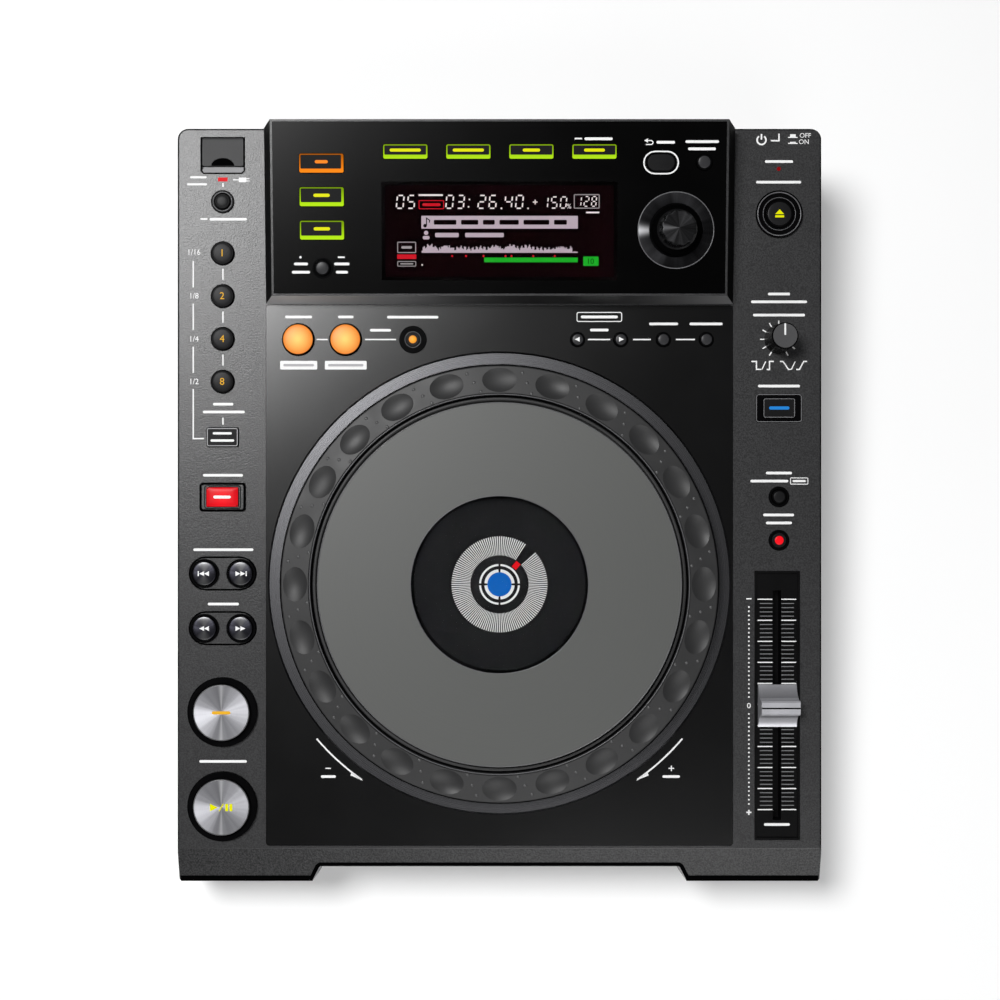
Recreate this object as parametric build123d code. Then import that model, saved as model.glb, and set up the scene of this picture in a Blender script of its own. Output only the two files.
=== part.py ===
from build123d import *
from collections import namedtuple
from math import atan2, cos, degrees, radians, sin, tan
import os

# A tabletop disc player for a mixing desk. Millimetres and degrees, +Z up, +Y towards the
# rear sockets, origin on the table under the middle of the whole player.

# ---------------------------------------------------------------- the case
case_width = 305.8
case_depth = 358.0
case_wall = 2.5
wing_skin = 2.5
deck_tilt = 4.0
deck_front_height = 53.2
bevel_run = 15.2
bevel_drop = 6.5
lip_run = 1.8
lip_drop = 4.5
case_corner = 5.0
case_edge = 0.9
foot_height = 5.0
foot_radius = 9.0
foot_inset = 24.0
pan_sheet = 1.5
pan_height = 9.0
seam_gap = 0.3
fit_gap = 0.15

# the finger recess in the front, round the disc slot
recess_width = 171.6
recess_depth = 8.4
recess_slant = 4.1
recess_corner = 2.0

# ---------------------------------------------------------------- deck and hump
wing_width = 42.0
deck_margin = 1.2
deck_sheet = 2.0
deck_corner = 1.5
ledge_width = 3.0
ledge_thickness = 2.0
hump_length = 83.9
hump_front_height = 14.0
hump_front_draft = 2.7
hump_rise = 4.94
hump_side_inset = 4.7
hump_side_draft = 0.335
hump_rear_inset = 1.9
hump_rim = 1.0
face_sheet = 2.5

# ---------------------------------------------------------------- jog wheel
jog_front_margin = 16.1
jog_rear_margin = 22.0
jog_side_margin = 1.0
jog_bezel_land = 6.9
jog_bezel_height = 1.6
jog_bezel_wall = 0.8
jog_bezel_bevel = 1.0
jog_dial_edge = 10.0
jog_dial_rise = 2.4
jog_ring_width = 14.4
jog_drum_depth = 5.0
jog_web = 2.5
jog_web_height = 3.0
jog_gap = 0.8
jog_post_radius = 10.0
jog_post_bore = 4.0
bearing_boss = 6.0
jog_hub_wall = 5.0
jog_drum_wall = 2.0
jog_dial_edge_drop = 0.9
jog_display_radius = 42.0
jog_display_height = 4.0
jog_platter_margin = 18.0
jog_platter_top = 16.2
jog_platter_sheet = 2.6
jog_window_radius = 41.2
jog_window_sheet = 1.0
jog_platter_travel = 0.6
jog_plate_depth = 10.0
jog_plate_sheet = 2.0
jog_rim_wall = 2.0
jog_rim_gap = 0.6
dimple_count = 24
dimple_length = 16.4
dimple_width = 11.6
dimple_depth = 1.3

# ---------------------------------------------------------------- keys
key_clearance = 0.35
key_travel = 0.8
key_stop_gap = 0.3
key_flange_reach = 1.0
key_flange = 1.0
key_stem_radius = 1.5
key_edge = 0.3
switch_size = 5.0
switch_height = 4.3
board_depth = 13.0
board_sheet = 1.6
board_post_radius = 2.0
surround_overlap = 0.6
surround_edge = 0.25
left_column_inset = 21.5
right_column_inset = 20.3
pair_spread = 17.2

# ---------------------------------------------------------------- selector and speed knob
selector_w = 30.2
selector_skirt_radius = 11.6
selector_cap_radius = 8.5
selector_cap_height = 16.5
selector_skirt_height = 3.4
selector_flutes = 12
selector_flute_radius = 1.7
selector_dish_radius = 17.9
selector_dish_height = 0.9
dish_rim = 1.3
selector_push = 0.6
selector_fillet = 0.8
selector_shoulder = 1.2
collar_reach = 1.5
shaft_radius = 3.0
running_gap = 0.05
knob_lift = 0.4
knob_roof = 4.5
speed_base_radius = 6.9
speed_top_radius = 6.2
speed_height = 18.0
speed_pointer_width = 1.0
speed_pointer_depth = 0.3
speed_skirt = 1.5
speed_edge = 0.6
encoder_size = 12.0
encoder_height = 6.5

# ---------------------------------------------------------------- tempo fader
fader_inset = 0.7
fader_front_margin = 4.0
fader_tray_width = 21.4
fader_sink = 1.2
fader_rim = 0.9
fader_flange_reach = 0.8
fader_flange = 1.0
fader_slot_width = 3.9
fader_end_land = 13.8
fader_end_play = 0.75
fader_stem_width = 3.0
fader_stem_length = 7.0
fader_body_width = 14.0
fader_body_depth = 9.0
fader_channel_depth = 6.0
fader_end_wall = 4.0
slider_width = 18.2
slider_length = 20.0
slider_height = 11.0
slider_ridge = 6.8
slider_skirt = 1.6

# ---------------------------------------------------------------- memory-stick port
lid_width = 19.4
lid_length = 13.4
lid_sheet = 1.8
lid_rear_gap = 4.33
lid_corner = 0.8
lid_barrel_radius = 1.5
lid_pin_radius = 0.8
lid_pin_length = 1.6
lid_swing_gap = 0.3
lid_notch_width = 11.0
lid_notch_depth = 3.7
well_depth = 9.0
well_wall = 1.5
well_corner = 0.5
lid_ear = 1.5
lid_ear_length = 5.0
lip_slope_length = 3.4
stick_socket_width = 13.1
stick_socket_height = 5.7
stick_socket_depth = 12.0
stick_shell = 0.35
stick_tongue = 1.8

# ---------------------------------------------------------------- lamps and window
window_width = 109.6
window_length = 45.4
window_w = 29.9
window_sheet = 1.2
window_ledge = 1.6
display_depth = 6.0
lamp_width = 4.5
lamp_length = 1.8
lamp_setback = 13.2
standby_radius = 0.95

# ---------------------------------------------------------------- rear panel
rear_reach = 11.0
rear_panel_top = 60.0
rear_panel_sheet = 1.5
rear_panel_margin = 7.0
inlet_inset = 26.0
inlet_z = 34.0
inlet_width = 24.4
inlet_height = 16.4
inlet_depth = 15.0
inlet_wall = 1.8
inlet_flange = 2.0
inlet_flange_reach = 3.0
inlet_pin = (2.0, 4.0)
inlet_pin_spread = 14.0
switch_inset = 20.9
power_cap = 9.0
power_proud = 5.5
power_travel = 3.0
power_body = 14.0
power_body_depth = 16.0
power_root = 2.0
phono_spread = 19.0
phono_radius = 4.15
phono_length = 9.0
phono_base = 2.0
phono_inside = 10.0
phono_bore = 1.6
jack_inset = 22.0
jack_bore = 1.8
jack_bush_radius = 3.9
jack_depth = 14.0
jack_body = 12.0
jack_proud = 1.5
host_width = 12.0
host_height = 11.0
host_depth = 16.0
host_shell = 1.7
host_tongue_width = 5.6
host_tongue_height = 3.2
lock_width = 7.0
lock_height = 3.0
lock_plate = 2.0
socket_z = 30.0

# ---------------------------------------------------------------- disc drive
slot_height = 29.0
slot_width = 124.0
slot_opening = 5.2
drive_width = 150.0
drive_depth = 168.0
drive_setback = 1.5
drive_sheet = 1.2
drive_base = 15.0
drive_roof = 34.0
guide_drop = 3.5
drive_leg_radius = 4.0
drive_leg_inset = 10.0
roller_offset = 10.0
roller_radius = 4.0
roller_shaft_radius = 1.5
roller_length = 112.0
spindle_offset = 77.0
turntable_radius = 14.5
turntable_sheet = 1.6
turntable_height = 22.4
cone_radius = 7.3
cone_height = 2.2
spindle_radius = 1.5
motor_radius = 14.0
motor_height = 5.6
sled_start = 25.0
sled_travel = 35.0
sled_width = 54.0
sled_length = 15.0
sled_height = 5.5
sled_base = 17.4
sled_rod_spread = 44.0
sled_rod_radius = 1.5
sled_bracket = 3.0
lens_radius = 3.0
clamp_radius = 15.0
clamp_sheet = 1.5

# ---------------------------------------------------------------- screws and boards
screw_radius = 1.5
screw_head_radius = 3.0
screw_head = 2.0
screw_reach = 10.0
boss_radius = 2.8
boss_clearance = 0.3
main_board_z = 12.5
big_board_side = 3.2
big_board_front = 7.1
big_board_rear = 25.5
main_board_end = 20.0
power_board_end = 30.0
standoff_radius = 3.0
standoff_inset = 5.0
screw_slot = 3.2
screw_slot_width = 0.7

# ---------------------------------------------------------------- places as shares
# along the deck's length, from its front edge
boss_shares = (0.1243, 0.5997, 0.9508)
left_post_shares = (0.2633, 0.6875, 0.4388, 0.863)
right_post_shares = (0.5412, 0.8045)
play_share, cue_share = 0.0591, 0.1899
search_share, track_share = 0.3057, 0.3818
reverse_share, beat_select_share = 0.488, 0.571
loop_share, loop_step_share = 0.8264, 0.0594
eject_share, standby_share = 0.8806, 0.9438
speed_share, jog_mode_share = 0.7071, 0.6114
tempo_range_share, master_tempo_share = 0.4883, 0.428
fader_share = 0.3733
# across the deck and the display panel, from the middle to the deck's edge
loop_in_share, loop_out_share, reloop_share = -0.8607, -0.6587, -0.3706
call_back_share, call_forward_share = 0.3341, 0.5189
delete_share, memory_share = 0.7011, 0.885
deck_post_shares = (-0.514, -0.0902, 0.6096)
source_share, selector_share = 0.743, 0.7385
menu_share, menu_step_share = -0.3927, 0.2628
back_share, tag_share = 0.6745, 0.8544
face_post_share = 0.8747
# across the rear, from the middle to the screws
phono_share, host_share = -0.456, -0.1228

# ================================================================ worked-out places
total_depth = case_depth + rear_reach
lip_y = -total_depth / 2
rear_y = lip_y + case_depth
recess_y = lip_y + recess_depth
edge_y = lip_y + lip_run + bevel_run
case_half = case_width / 2
deck_width = case_width - 2 * wing_width
deck_half = deck_width / 2
hump_half = deck_half - hump_side_inset
split_height = foot_height + pan_height
pan_top = foot_height + pan_sheet
bevel_height = deck_front_height - bevel_drop
lip_height = bevel_height - lip_drop
rear_height = deck_front_height + (rear_y - edge_y) * tan(radians(deck_tilt))
deck_length = (rear_y - edge_y) / cos(radians(deck_tilt))
hump_front = deck_length - hump_length
face_front = hump_front + hump_front_draft
left_column = left_column_inset - case_half
right_column = case_half - right_column_inset
boss_u = deck_half + boss_radius + boss_clearance
boss_rows = [share * deck_length for share in boss_shares]
inlet_x = boss_u - inlet_inset
switch_x = case_half - switch_inset
jack_x = jack_inset - boss_u
phono_x = phono_share * boss_u
host_x = host_share * boss_u
lock_x = -switch_x
lid_v = deck_length - lid_rear_gap - lid_length / 2
lamp_v = lid_v - lamp_setback
standby_v = standby_share * deck_length
speed_v = speed_share * deck_length
source_column = source_share * deck_half
selector_u = selector_share * deck_half
fader_u = right_column - fader_inset
fader_tray_length = fader_share * deck_length
fader_travel = fader_tray_length / 2 - fader_end_land
fader_v = fader_front_margin + fader_tray_length / 2
jog_bezel_radius = min(deck_half - jog_side_margin, (hump_front - jog_front_margin - jog_rear_margin) / 2)
jog_centre = jog_front_margin + jog_bezel_radius
jog_dial_radius = jog_bezel_radius - jog_bezel_land
jog_platter_radius = jog_dial_radius - jog_platter_margin
drive_front = recess_y + case_wall + drive_setback
drive_rear = drive_front + drive_depth
big_board_half = boss_u - boss_radius - big_board_side
main_board_y = (drive_rear + big_board_front, rear_y - big_board_rear)
main_board_x = (-big_board_half, main_board_end)
power_board_x = (power_board_end, big_board_half)
far = 2 * case_depth


def tilted_frame(origin, tilt):
    """A frame with +X across, +Y up the slope and +Z square to the sloping face."""
    normal = (0, -sin(radians(tilt)), cos(radians(tilt)))
    return Plane(origin=origin, x_dir=(1, 0, 0), z_dir=normal)


deck_plane = tilted_frame((0, edge_y, deck_front_height), deck_tilt)
face_origin = deck_plane.from_local_coords(Vector(0, face_front, hump_front_height))
face_plane = tilted_frame(face_origin, deck_tilt + hump_rise)


def on_deck(u, v, h=0.0):
    return deck_plane.location * Pos(u, v, h)


def on_face(u, w, h=0.0):
    return face_plane.location * Pos(u, w, h)


# ================================================================ plain shapes
def post(radius, low, high):
    """An upright cylinder between two heights."""
    return Pos(0, 0, low) * Cylinder(radius, high - low, align=(Align.CENTER, Align.CENTER, Align.MIN))


def slab(width, length, low, high):
    """A square-cornered block between two heights, centred on the axis."""
    return Pos(0, 0, low) * Box(width, length, high - low, align=(Align.CENTER, Align.CENTER, Align.MIN))


def block(x_range, y_range, z_range):
    """A block between two corners."""
    (x0, x1), (y0, y1), (z0, z1) = x_range, y_range, z_range
    return Pos((x0 + x1) / 2, (y0 + y1) / 2, (z0 + z1) / 2) * Box(x1 - x0, y1 - y0, z1 - z0)


def around(middle, half):
    """The range that reaches the same distance both ways from a middle."""
    return (middle - half, middle + half)


def turned(points):
    """A solid of revolution about the upright axis, from (radius, height) points."""
    return revolve(Plane.XZ * Polygon(*points, align=None), Axis.Z)


def side_prism(points, half_width):
    """A prism across the case, from (y, z) points."""
    return extrude(Plane.YZ * Polygon(*points, align=None), half_width, both=True)


def outline(width, length, corner):
    """A round, rounded or square outline."""
    if corner <= 0:
        return Rectangle(width, length)
    if width == length and 2 * corner >= width:
        return Circle(width / 2)
    if 2 * corner >= min(width, length):
        if width > length:
            return SlotOverall(width, length)
        return SlotOverall(length, width, rotation=90)
    return RectangleRounded(width, length, corner)


def plug(width, length, corner, low, high):
    return Pos(0, 0, low) * extrude(outline(width, length, corner), high - low)


def soft_top(shape, radius):
    """Rounds the highest edges of a shape."""
    return fillet(shape.edges().group_by(Axis.Z)[-1], radius)


def group(*shapes):
    """Separate solids kept together as one node."""
    return Compound([solid for shape in shapes for solid in shape.solids()])


def deck_height_at(y):
    return deck_front_height + (y - edge_y) * tan(radians(deck_tilt))


# ================================================================ keys
# Each key: node name, panel it sits in, place on that panel, cap size and corner, how proud.
Key = namedtuple("Key", "name panel u v width length corner proud")
# Each surround: outside size and corner, height above the panel.
Surround = namedtuple("Surround", "width length corner height")


def round_key(name, panel, u, v, radius, proud):
    return Key(name, panel, u, v, 2 * radius, 2 * radius, radius, proud)


def along(share):
    return share * deck_length


def across(share):
    return share * deck_half


loop_radius, pair_radius, play_radius = 5.45, 5.7, 13.3
small_radius, cue_loop_radius, eject_radius = 3.65, 7.0, 6.4
call_radius, tempo_key_radius, tag_radius = 3.3, 3.45, 3.6
low_proud, key_proud, dome_proud, raised_proud = 0.9, 1.4, 1.6, 4.2
flat_proud, lens_proud = 1.2, 2.2
select_width, select_length, select_corner = 14.9, 8.9, 0.8
reverse_width, reverse_length, oblong_corner = 14.9, 9.1, 0.6
jog_mode_width, jog_mode_length = 14.7, 8.5
back_width, back_length = 12.6, 7.5
stop_setback = 23.8
deck_row_setback = 16.4
track_v, search_v = along(track_share), along(search_share)
deck_row = hump_front - deck_row_setback
menu_row = 66.2
menu_width, menu_length, menu_corner = 20.4, 6.5, 0.8
time_mode_w, back_w, tag_w = 12.8, 61.2, 61.4
source_first, source_pitch = 60.9, 15.35
source_width, source_length, source_corner = 20.4, 8.6, 0.9

keys = [
    round_key("usb_stop_button", "wing", left_column, lid_v - stop_setback, small_radius, dome_proud),
    Key("beat_select_button", "wing", left_column, along(beat_select_share),
        select_width, select_length, select_corner, flat_proud),
    Key("reverse_button", "wing", left_column, along(reverse_share),
        reverse_width, reverse_length, oblong_corner, key_proud),
    round_key("cue_button", "wing", left_column, along(cue_share), play_radius, raised_proud),
    round_key("play_button", "wing", left_column, along(play_share), play_radius, raised_proud),
    round_key("eject_button", "wing", right_column, along(eject_share), eject_radius, lens_proud),
    Key("jog_mode_button", "wing", right_column, along(jog_mode_share),
        jog_mode_width, jog_mode_length, oblong_corner, key_proud),
    round_key("tempo_range_button", "wing", right_column, along(tempo_range_share),
              tempo_key_radius, key_proud),
    round_key("master_tempo_button", "wing", right_column, along(master_tempo_share),
              tempo_key_radius, key_proud),
    round_key("loop_in_button", "deck", across(loop_in_share), deck_row, cue_loop_radius, lens_proud),
    round_key("loop_out_button", "deck", across(loop_out_share), deck_row, cue_loop_radius, lens_proud),
    round_key("reloop_button", "deck", across(reloop_share), deck_row, call_radius, dome_proud),
    round_key("call_back_button", "deck", across(call_back_share), deck_row, call_radius, key_proud),
    round_key("call_forward_button", "deck", across(call_forward_share), deck_row, call_radius, key_proud),
    round_key("delete_button", "deck", across(delete_share), deck_row, call_radius, key_proud),
    round_key("memory_button", "deck", across(memory_share), deck_row, call_radius, key_proud),
    round_key("time_mode_button", "face", -source_column, time_mode_w, small_radius, dome_proud),
    Key("back_button", "face", across(back_share), back_w,
        back_width, back_length, back_length / 2, key_proud),
    round_key("tag_track_button", "face", across(tag_share), tag_w, tag_radius, key_proud),
]
for row, beats in enumerate((1, 2, 4, 8)):
    loop_v = along(loop_share - row * loop_step_share)
    keys.append(round_key(f"loop_{beats}_button", "wing", left_column, loop_v, loop_radius, dome_proud))
for pair, pair_v in (("track", track_v), ("search", search_v)):
    for way, side in (("back", -1), ("forward", 1)):
        pair_u = left_column + side * pair_spread / 2
        keys.append(round_key(f"{pair}_{way}_button", "wing", pair_u, pair_v, pair_radius, flat_proud))
for column, menu_name in enumerate(("browse", "tag_list", "info", "menu")):
    menu_u = across(menu_share + column * menu_step_share)
    keys.append(Key(f"{menu_name}_button", "face", menu_u, menu_row,
                    menu_width, menu_length, menu_corner, low_proud))
for row, source in enumerate(("pc", "usb", "disc")):
    source_w = source_first - row * source_pitch
    keys.append(Key(f"source_{source}_button", "face", -source_column, source_w,
                    source_width, source_length, source_corner, low_proud))

def ring_surround(radius, height):
    return Surround(2 * radius, 2 * radius, radius, height)


play_ring, play_ring_height = 16.6, 1.8
eject_ring, eject_ring_height = 11.2, 1.6
stop_ring, stop_ring_height = 5.5, 0.8
reloop_ring, tempo_ring, small_ring_height = 6.55, 4.95, 0.7
time_ring, time_ring_height = 4.8, 0.4
frame_width, reverse_frame_length, jog_mode_frame_length = 22.0, 13.8, 13.6
back_frame_width, back_frame_length = 16.8, 11.0
frame_corner, frame_height = 1.4, 0.5
surrounds = {
    "usb_stop_button": ring_surround(stop_ring, stop_ring_height),
    "cue_button": ring_surround(play_ring, play_ring_height),
    "play_button": ring_surround(play_ring, play_ring_height),
    "eject_button": ring_surround(eject_ring, eject_ring_height),
    "tempo_range_button": ring_surround(tempo_ring, small_ring_height),
    "master_tempo_button": ring_surround(tempo_ring, small_ring_height),
    "reloop_button": ring_surround(reloop_ring, small_ring_height),
    "time_mode_button": ring_surround(time_ring, time_ring_height),
    "reverse_button": Surround(frame_width, reverse_frame_length, frame_corner, frame_height),
    "jog_mode_button": Surround(frame_width, jog_mode_frame_length, frame_corner, frame_height),
    "back_button": Surround(back_frame_width, back_frame_length, back_frame_length / 2, frame_height),
}
pair_tray_width, pair_tray_length = 32.4, 16.2
pair_tray = Surround(pair_tray_width, pair_tray_length, pair_tray_length / 2, 0.0)
pair_tray_sink = 0.5
pair_tray_sheet = 0.5
pair_rim_radius = 6.9
pair_rim_height = 0.3
panel_sheets = {"wing": wing_skin, "deck": deck_sheet, "face": face_sheet}
panel_planes = {"wing": on_deck, "deck": on_deck, "face": on_face}


def place_key(key):
    return panel_planes[key.panel](key.u, key.v)


def key_solid(key):
    """A cap with a flange under the panel and a stem that ends above its switch."""
    below = -panel_sheets[key.panel] - key_clearance
    stem_end = switch_height - board_depth + key_travel + key_stop_gap
    cap = soft_top(plug(key.width, key.length, key.corner, below, key.proud), key_edge)
    grown = 2 * key_flange_reach
    corner = key.corner + key_flange_reach
    flange = plug(key.width + grown, key.length + grown, corner, below - key_flange, below)
    stem = post(key_stem_radius, stem_end, below)
    return place_key(key) * (cap + flange + stem)


def key_opening(key):
    """What a panel loses where a key, or the sleeve of its surround, goes through."""
    deep = panel_sheets[key.panel] + 1
    if key.name in surrounds:
        ring = surrounds[key.name]
        shrink = 2 * (surround_overlap - running_gap)
        corner = ring.corner - surround_overlap + running_gap
        return place_key(key) * plug(ring.width - shrink, ring.length - shrink, corner, -deep, 1)
    grown = 2 * key_clearance
    return place_key(key) * plug(key.width + grown, key.length + grown,
                                 key.corner + key_clearance, -deep, 1)


def surround_solid(key):
    """A ring or frame that lies on the panel, with a sleeve down through it."""
    ring = surrounds[key.name]
    sheet = panel_sheets[key.panel]
    shrink = 2 * surround_overlap
    top = plug(ring.width, ring.length, ring.corner, 0, ring.height)
    top = soft_top(top, min(surround_edge, ring.height / 2))
    sleeve = plug(ring.width - shrink, ring.length - shrink, ring.corner - surround_overlap, -sheet, 0)
    grown = 2 * key_clearance
    bore = plug(key.width + grown, key.length + grown, key.corner + key_clearance, -sheet - 1, far)
    return place_key(key) * (top + sleeve - bore)


def pair_tray_solid(pair_v):
    """The sunk stadium under two round keys, with a rim round each."""
    sheet = plug(pair_tray.width, pair_tray.length, pair_tray.corner,
                 -pair_tray_sink - pair_tray_sheet, -pair_tray_sink)
    for side in (-1, 1):
        spot = Pos(side * pair_spread / 2, 0, 0)
        sheet += spot * post(pair_rim_radius, -pair_tray_sink, pair_rim_height)
        sheet -= spot * post(pair_radius + key_clearance, -far, far)
    return on_deck(left_column, pair_v) * sheet


def pair_pocket(pair_v):
    grown = 2 * running_gap
    return on_deck(left_column, pair_v) * plug(
        pair_tray.width + grown, pair_tray.length + grown, pair_tray.corner + running_gap,
        -pair_tray_sink - pair_tray_sheet, 1)


# ================================================================ boards and their posts
board_side_gap = 0.8
wing_board_inner = boss_u + boss_radius + board_side_gap
wing_board_outer = case_half - case_wall - board_side_gap
wing_board_width = wing_board_outer - wing_board_inner
wing_board_u = (wing_board_inner + wing_board_outer) / 2
wing_board_front, fader_board_gap, lid_board_gap = 8.0, 6.4, 15.8
left_board_v = (wing_board_front, lid_v - lid_board_gap)
right_board_v = (fader_front_margin + fader_tray_length + fader_board_gap, lid_v - lid_board_gap)
deck_board_reach = (-4.6, 7.5)
deck_board_v = (deck_row + deck_board_reach[0], deck_row + deck_board_reach[1])
panel_board_gap = 2.0
deck_board_width = 2 * (deck_half - ledge_width - panel_board_gap)
face_board_w = (5.0, 75.0)
face_board_width = 2 * (hump_half - case_wall - 1.5 * panel_board_gap)

wing_post_out = wing_board_outer - board_post_radius - board_side_gap
wing_post_in = wing_board_inner + board_post_radius + board_side_gap
left_posts = [(-post_u, along(share)) for post_u, share in zip(
    (wing_post_out, wing_post_out, wing_post_in, wing_post_in), left_post_shares)]
right_posts = [(post_u, along(share)) for share in right_post_shares
               for post_u in (wing_post_out, wing_post_in)]
deck_posts = [(across(share), deck_row) for share in deck_post_shares]
front_post_w, rear_post_w, window_post_gap = 9.0, 71.0, 5.5
face_side_post = across(face_post_share)
window_post = window_width / 2 + window_post_gap
source_post = (window_width / 2 + source_column - source_width / 2 - key_flange_reach) / 2
face_posts = [(-face_side_post, front_post_w), (face_side_post, front_post_w), (-face_side_post, rear_post_w),
              (window_post, rear_post_w), (-source_post, window_w), (window_post, front_post_w)]


def posts(place, spots, sheet):
    """Posts that hang a board under a panel."""
    return [place(u, v) * post(board_post_radius, -board_depth, -sheet / 2) for u, v in spots]


def board(place, u, width, v_range):
    v = sum(v_range) / 2
    length = v_range[1] - v_range[0]
    return place(u, v) * slab(width, length, -board_depth - board_sheet, -board_depth)


def switches(panel, side=0):
    """A switch under each key of one panel."""
    found = []
    for key in keys:
        if key.panel == panel and key.u * side >= 0:
            found.append(place_key(key) * slab(switch_size, switch_size, -board_depth,
                                               switch_height - board_depth))
    return found


# ================================================================ case shells
def plan(inset=0.0):
    """The case seen from above: round rear corners and the finger recess in front."""
    half = recess_width / 2
    slanted = half + recess_slant
    points = [(-case_half, lip_y), (-slanted, lip_y), (-half, recess_y), (half, recess_y),
              (slanted, lip_y), (case_half, lip_y), (case_half, rear_y), (-case_half, rear_y)]
    shape = Polygon(*points, align=None)
    shape = fillet(shape.vertices().filter_by(lambda p: p.Y > rear_y - 1), case_corner)
    shape = fillet(shape.vertices().filter_by(lambda p: recess_y - 1 < p.Y < recess_y + 1), recess_corner)
    return offset(shape, -inset, kind=Kind.INTERSECTION) if inset else shape


def case_side(inset=0.0):
    """The wings' block seen from the side."""
    points = [(lip_y, -far), (lip_y, lip_height), (lip_y + lip_run, bevel_height),
              (edge_y, deck_front_height), (rear_y, rear_height), (rear_y, -far)]
    shape = Plane.YZ * Polygon(*points, align=None)
    if inset:
        shape = offset(shape, -inset, kind=Kind.INTERSECTION)
    return shape


def case_block(inset=0.0):
    """The wings' block, whole or drawn in on every side."""
    body = extrude(case_side(inset), case_half, both=True)
    return body & (Pos(0, 0, -foot_height) * extrude(plan(inset), far))


def hump_block(inset=0.0, above=0.0):
    """The display hump down to below the deck, whole or drawn in, level or open above."""
    slope = tan(radians(deck_tilt + hump_rise))
    front = deck_plane.from_local_coords(Vector(0, hump_front, -2 * ledge_thickness))
    top_y = face_origin.Y + inset
    top_z = face_origin.Z + inset * slope + above
    rear = rear_y - hump_rear_inset - inset
    rear_z = face_origin.Z + (rear - face_origin.Y) * slope + above
    low = front.Z - board_depth
    lean = hump_front_draft / hump_front_height
    foot_y = front.Y + inset
    points = [(foot_y - lean, low), (foot_y, front.Z), (top_y, face_origin.Z + inset * slope),
              (top_y, top_z), (rear, rear_z), (rear, low)]
    if above == 0:
        points.pop(3)
    body = side_prism(points, deck_half - inset)
    top_half = hump_half - inset
    deep = 3 * hump_front_height
    spread = top_half + hump_side_draft * deep
    sides = [(-top_half, above + 1), (top_half, above + 1), (top_half, 0), (spread, -deep),
             (-spread, -deep), (-top_half, 0)]
    across = Plane(origin=face_origin, x_dir=(1, 0, 0), z_dir=-face_plane.y_dir)
    return body & extrude(across * Polygon(*sides, align=None), far, both=True)


def deck_slab(inset, low, high):
    """A block over the deck panel's place, drawn in by an inset."""
    v0 = deck_margin + inset
    v1 = hump_front - inset
    width = deck_width - 2 * inset
    corner = max(deck_corner - inset, 0.2)
    return on_deck(0, (v0 + v1) / 2) * plug(width, v1 - v0, corner, low, high)


def screw_bosses():
    """Bosses from the top skin down to the bottom pan, bored for the case screws."""
    found = []
    for side in (-1, 1):
        for v in boss_rows:
            foot = on_deck(side * boss_u, v).position
            top = deck_height_at(foot.Y) - wing_skin / 2
            boss = post(boss_radius, pan_top, top) - post(screw_radius, pan_top - 1, pan_top + screw_reach)
            found.append(Pos(foot.X, foot.Y, 0) * boss)
    return found


def lid_axis():
    return (lid_v + lid_length / 2 - lid_barrel_radius, -lid_barrel_radius)


def port_well():
    """The well under the port's lid, with ears for the lid's pins."""
    width = lid_width + 2 * (lid_swing_gap + well_wall)
    length = lid_length + 2 * (lid_swing_gap + well_wall)
    well = on_deck(left_column, lid_v) * slab(width, length, -well_depth - well_wall, -wing_skin / 2)
    axis_v, axis_h = lid_axis()
    ear_width = lid_pin_length + lid_ear
    ears = []
    for side in (-1, 1):
        ear_u = left_column + side * (lid_width / 2 + lid_swing_gap + ear_width / 2)
        ears.append(on_deck(ear_u, axis_v, 0) * slab(
            ear_width, lid_ear_length, -2 * wing_skin, -wing_skin / 2))
    return [well] + ears


def port_cuts():
    """The lid's place, the well, the finger slope in front and the holes for the pins."""
    width = lid_width + 2 * lid_swing_gap
    length = lid_length + 2 * lid_swing_gap
    hole = on_deck(left_column, lid_v) * plug(width, length, well_corner, -well_depth, 1)
    socket = on_deck(left_column, lid_v) * slab(
        stick_socket_width + 2 * fit_gap, stick_socket_height + 2 * fit_gap, -2 * well_depth, 0)
    front_v = lid_v - length / 2
    slope_points = [(front_v - lip_slope_length, 0), (front_v - lip_slope_length, 1), (front_v + 1, 1),
                    (front_v + 1, -lid_sheet), (front_v, -lid_sheet)]
    slope = extrude(Plane.YZ * Polygon(*slope_points, align=None), width / 2, both=True)
    slope = on_deck(left_column, 0) * slope
    axis_v, axis_h = lid_axis()
    pins = on_deck(left_column, axis_v, axis_h) * Rot(0, 90, 0) * Cylinder(
        lid_pin_radius + running_gap, lid_width + 2 * lid_pin_length + 2 * fit_gap)
    return [hole, socket, slope, pins]


def wing_pockets():
    """Holes in the wings for the keys, knobs, lamps and the fader's tray."""
    cuts = [key_opening(key) for key in keys if key.panel == "wing"]
    cuts += [pair_pocket(track_v), pair_pocket(search_v)]
    cuts.append(on_deck(right_column, speed_v) * post(shaft_radius + key_clearance, -far / 4, 1))
    tray = 2 * fit_gap
    cuts.append(on_deck(fader_u, fader_v) * slab(
        fader_tray_width + tray, fader_tray_length + tray, -2 * wing_skin, 1))
    cuts.append(on_deck(left_column, lamp_v) * slab(
        lamp_width + 2 * running_gap, lamp_length + 2 * running_gap, -2 * wing_skin, 1))
    cuts.append(on_deck(right_column, standby_v) * post(standby_radius + running_gap, -2 * wing_skin, 1))
    return cuts


def rear_panel_block(gap, z_low):
    """The opening in the rear wall, or the steel panel that fills it."""
    half = case_half - rear_panel_margin - gap
    return block((-half, half), (rear_y - rear_panel_sheet, rear_y), (z_low, rear_panel_top - gap))


def rounded_case_block():
    """The outer block with softened top edges."""
    body = case_block()
    tops = body.faces().filter_by(lambda f: f.normal_at().dot(deck_plane.z_dir) > 0.9999)
    return fillet(tops[0].edges(), case_edge)


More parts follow.
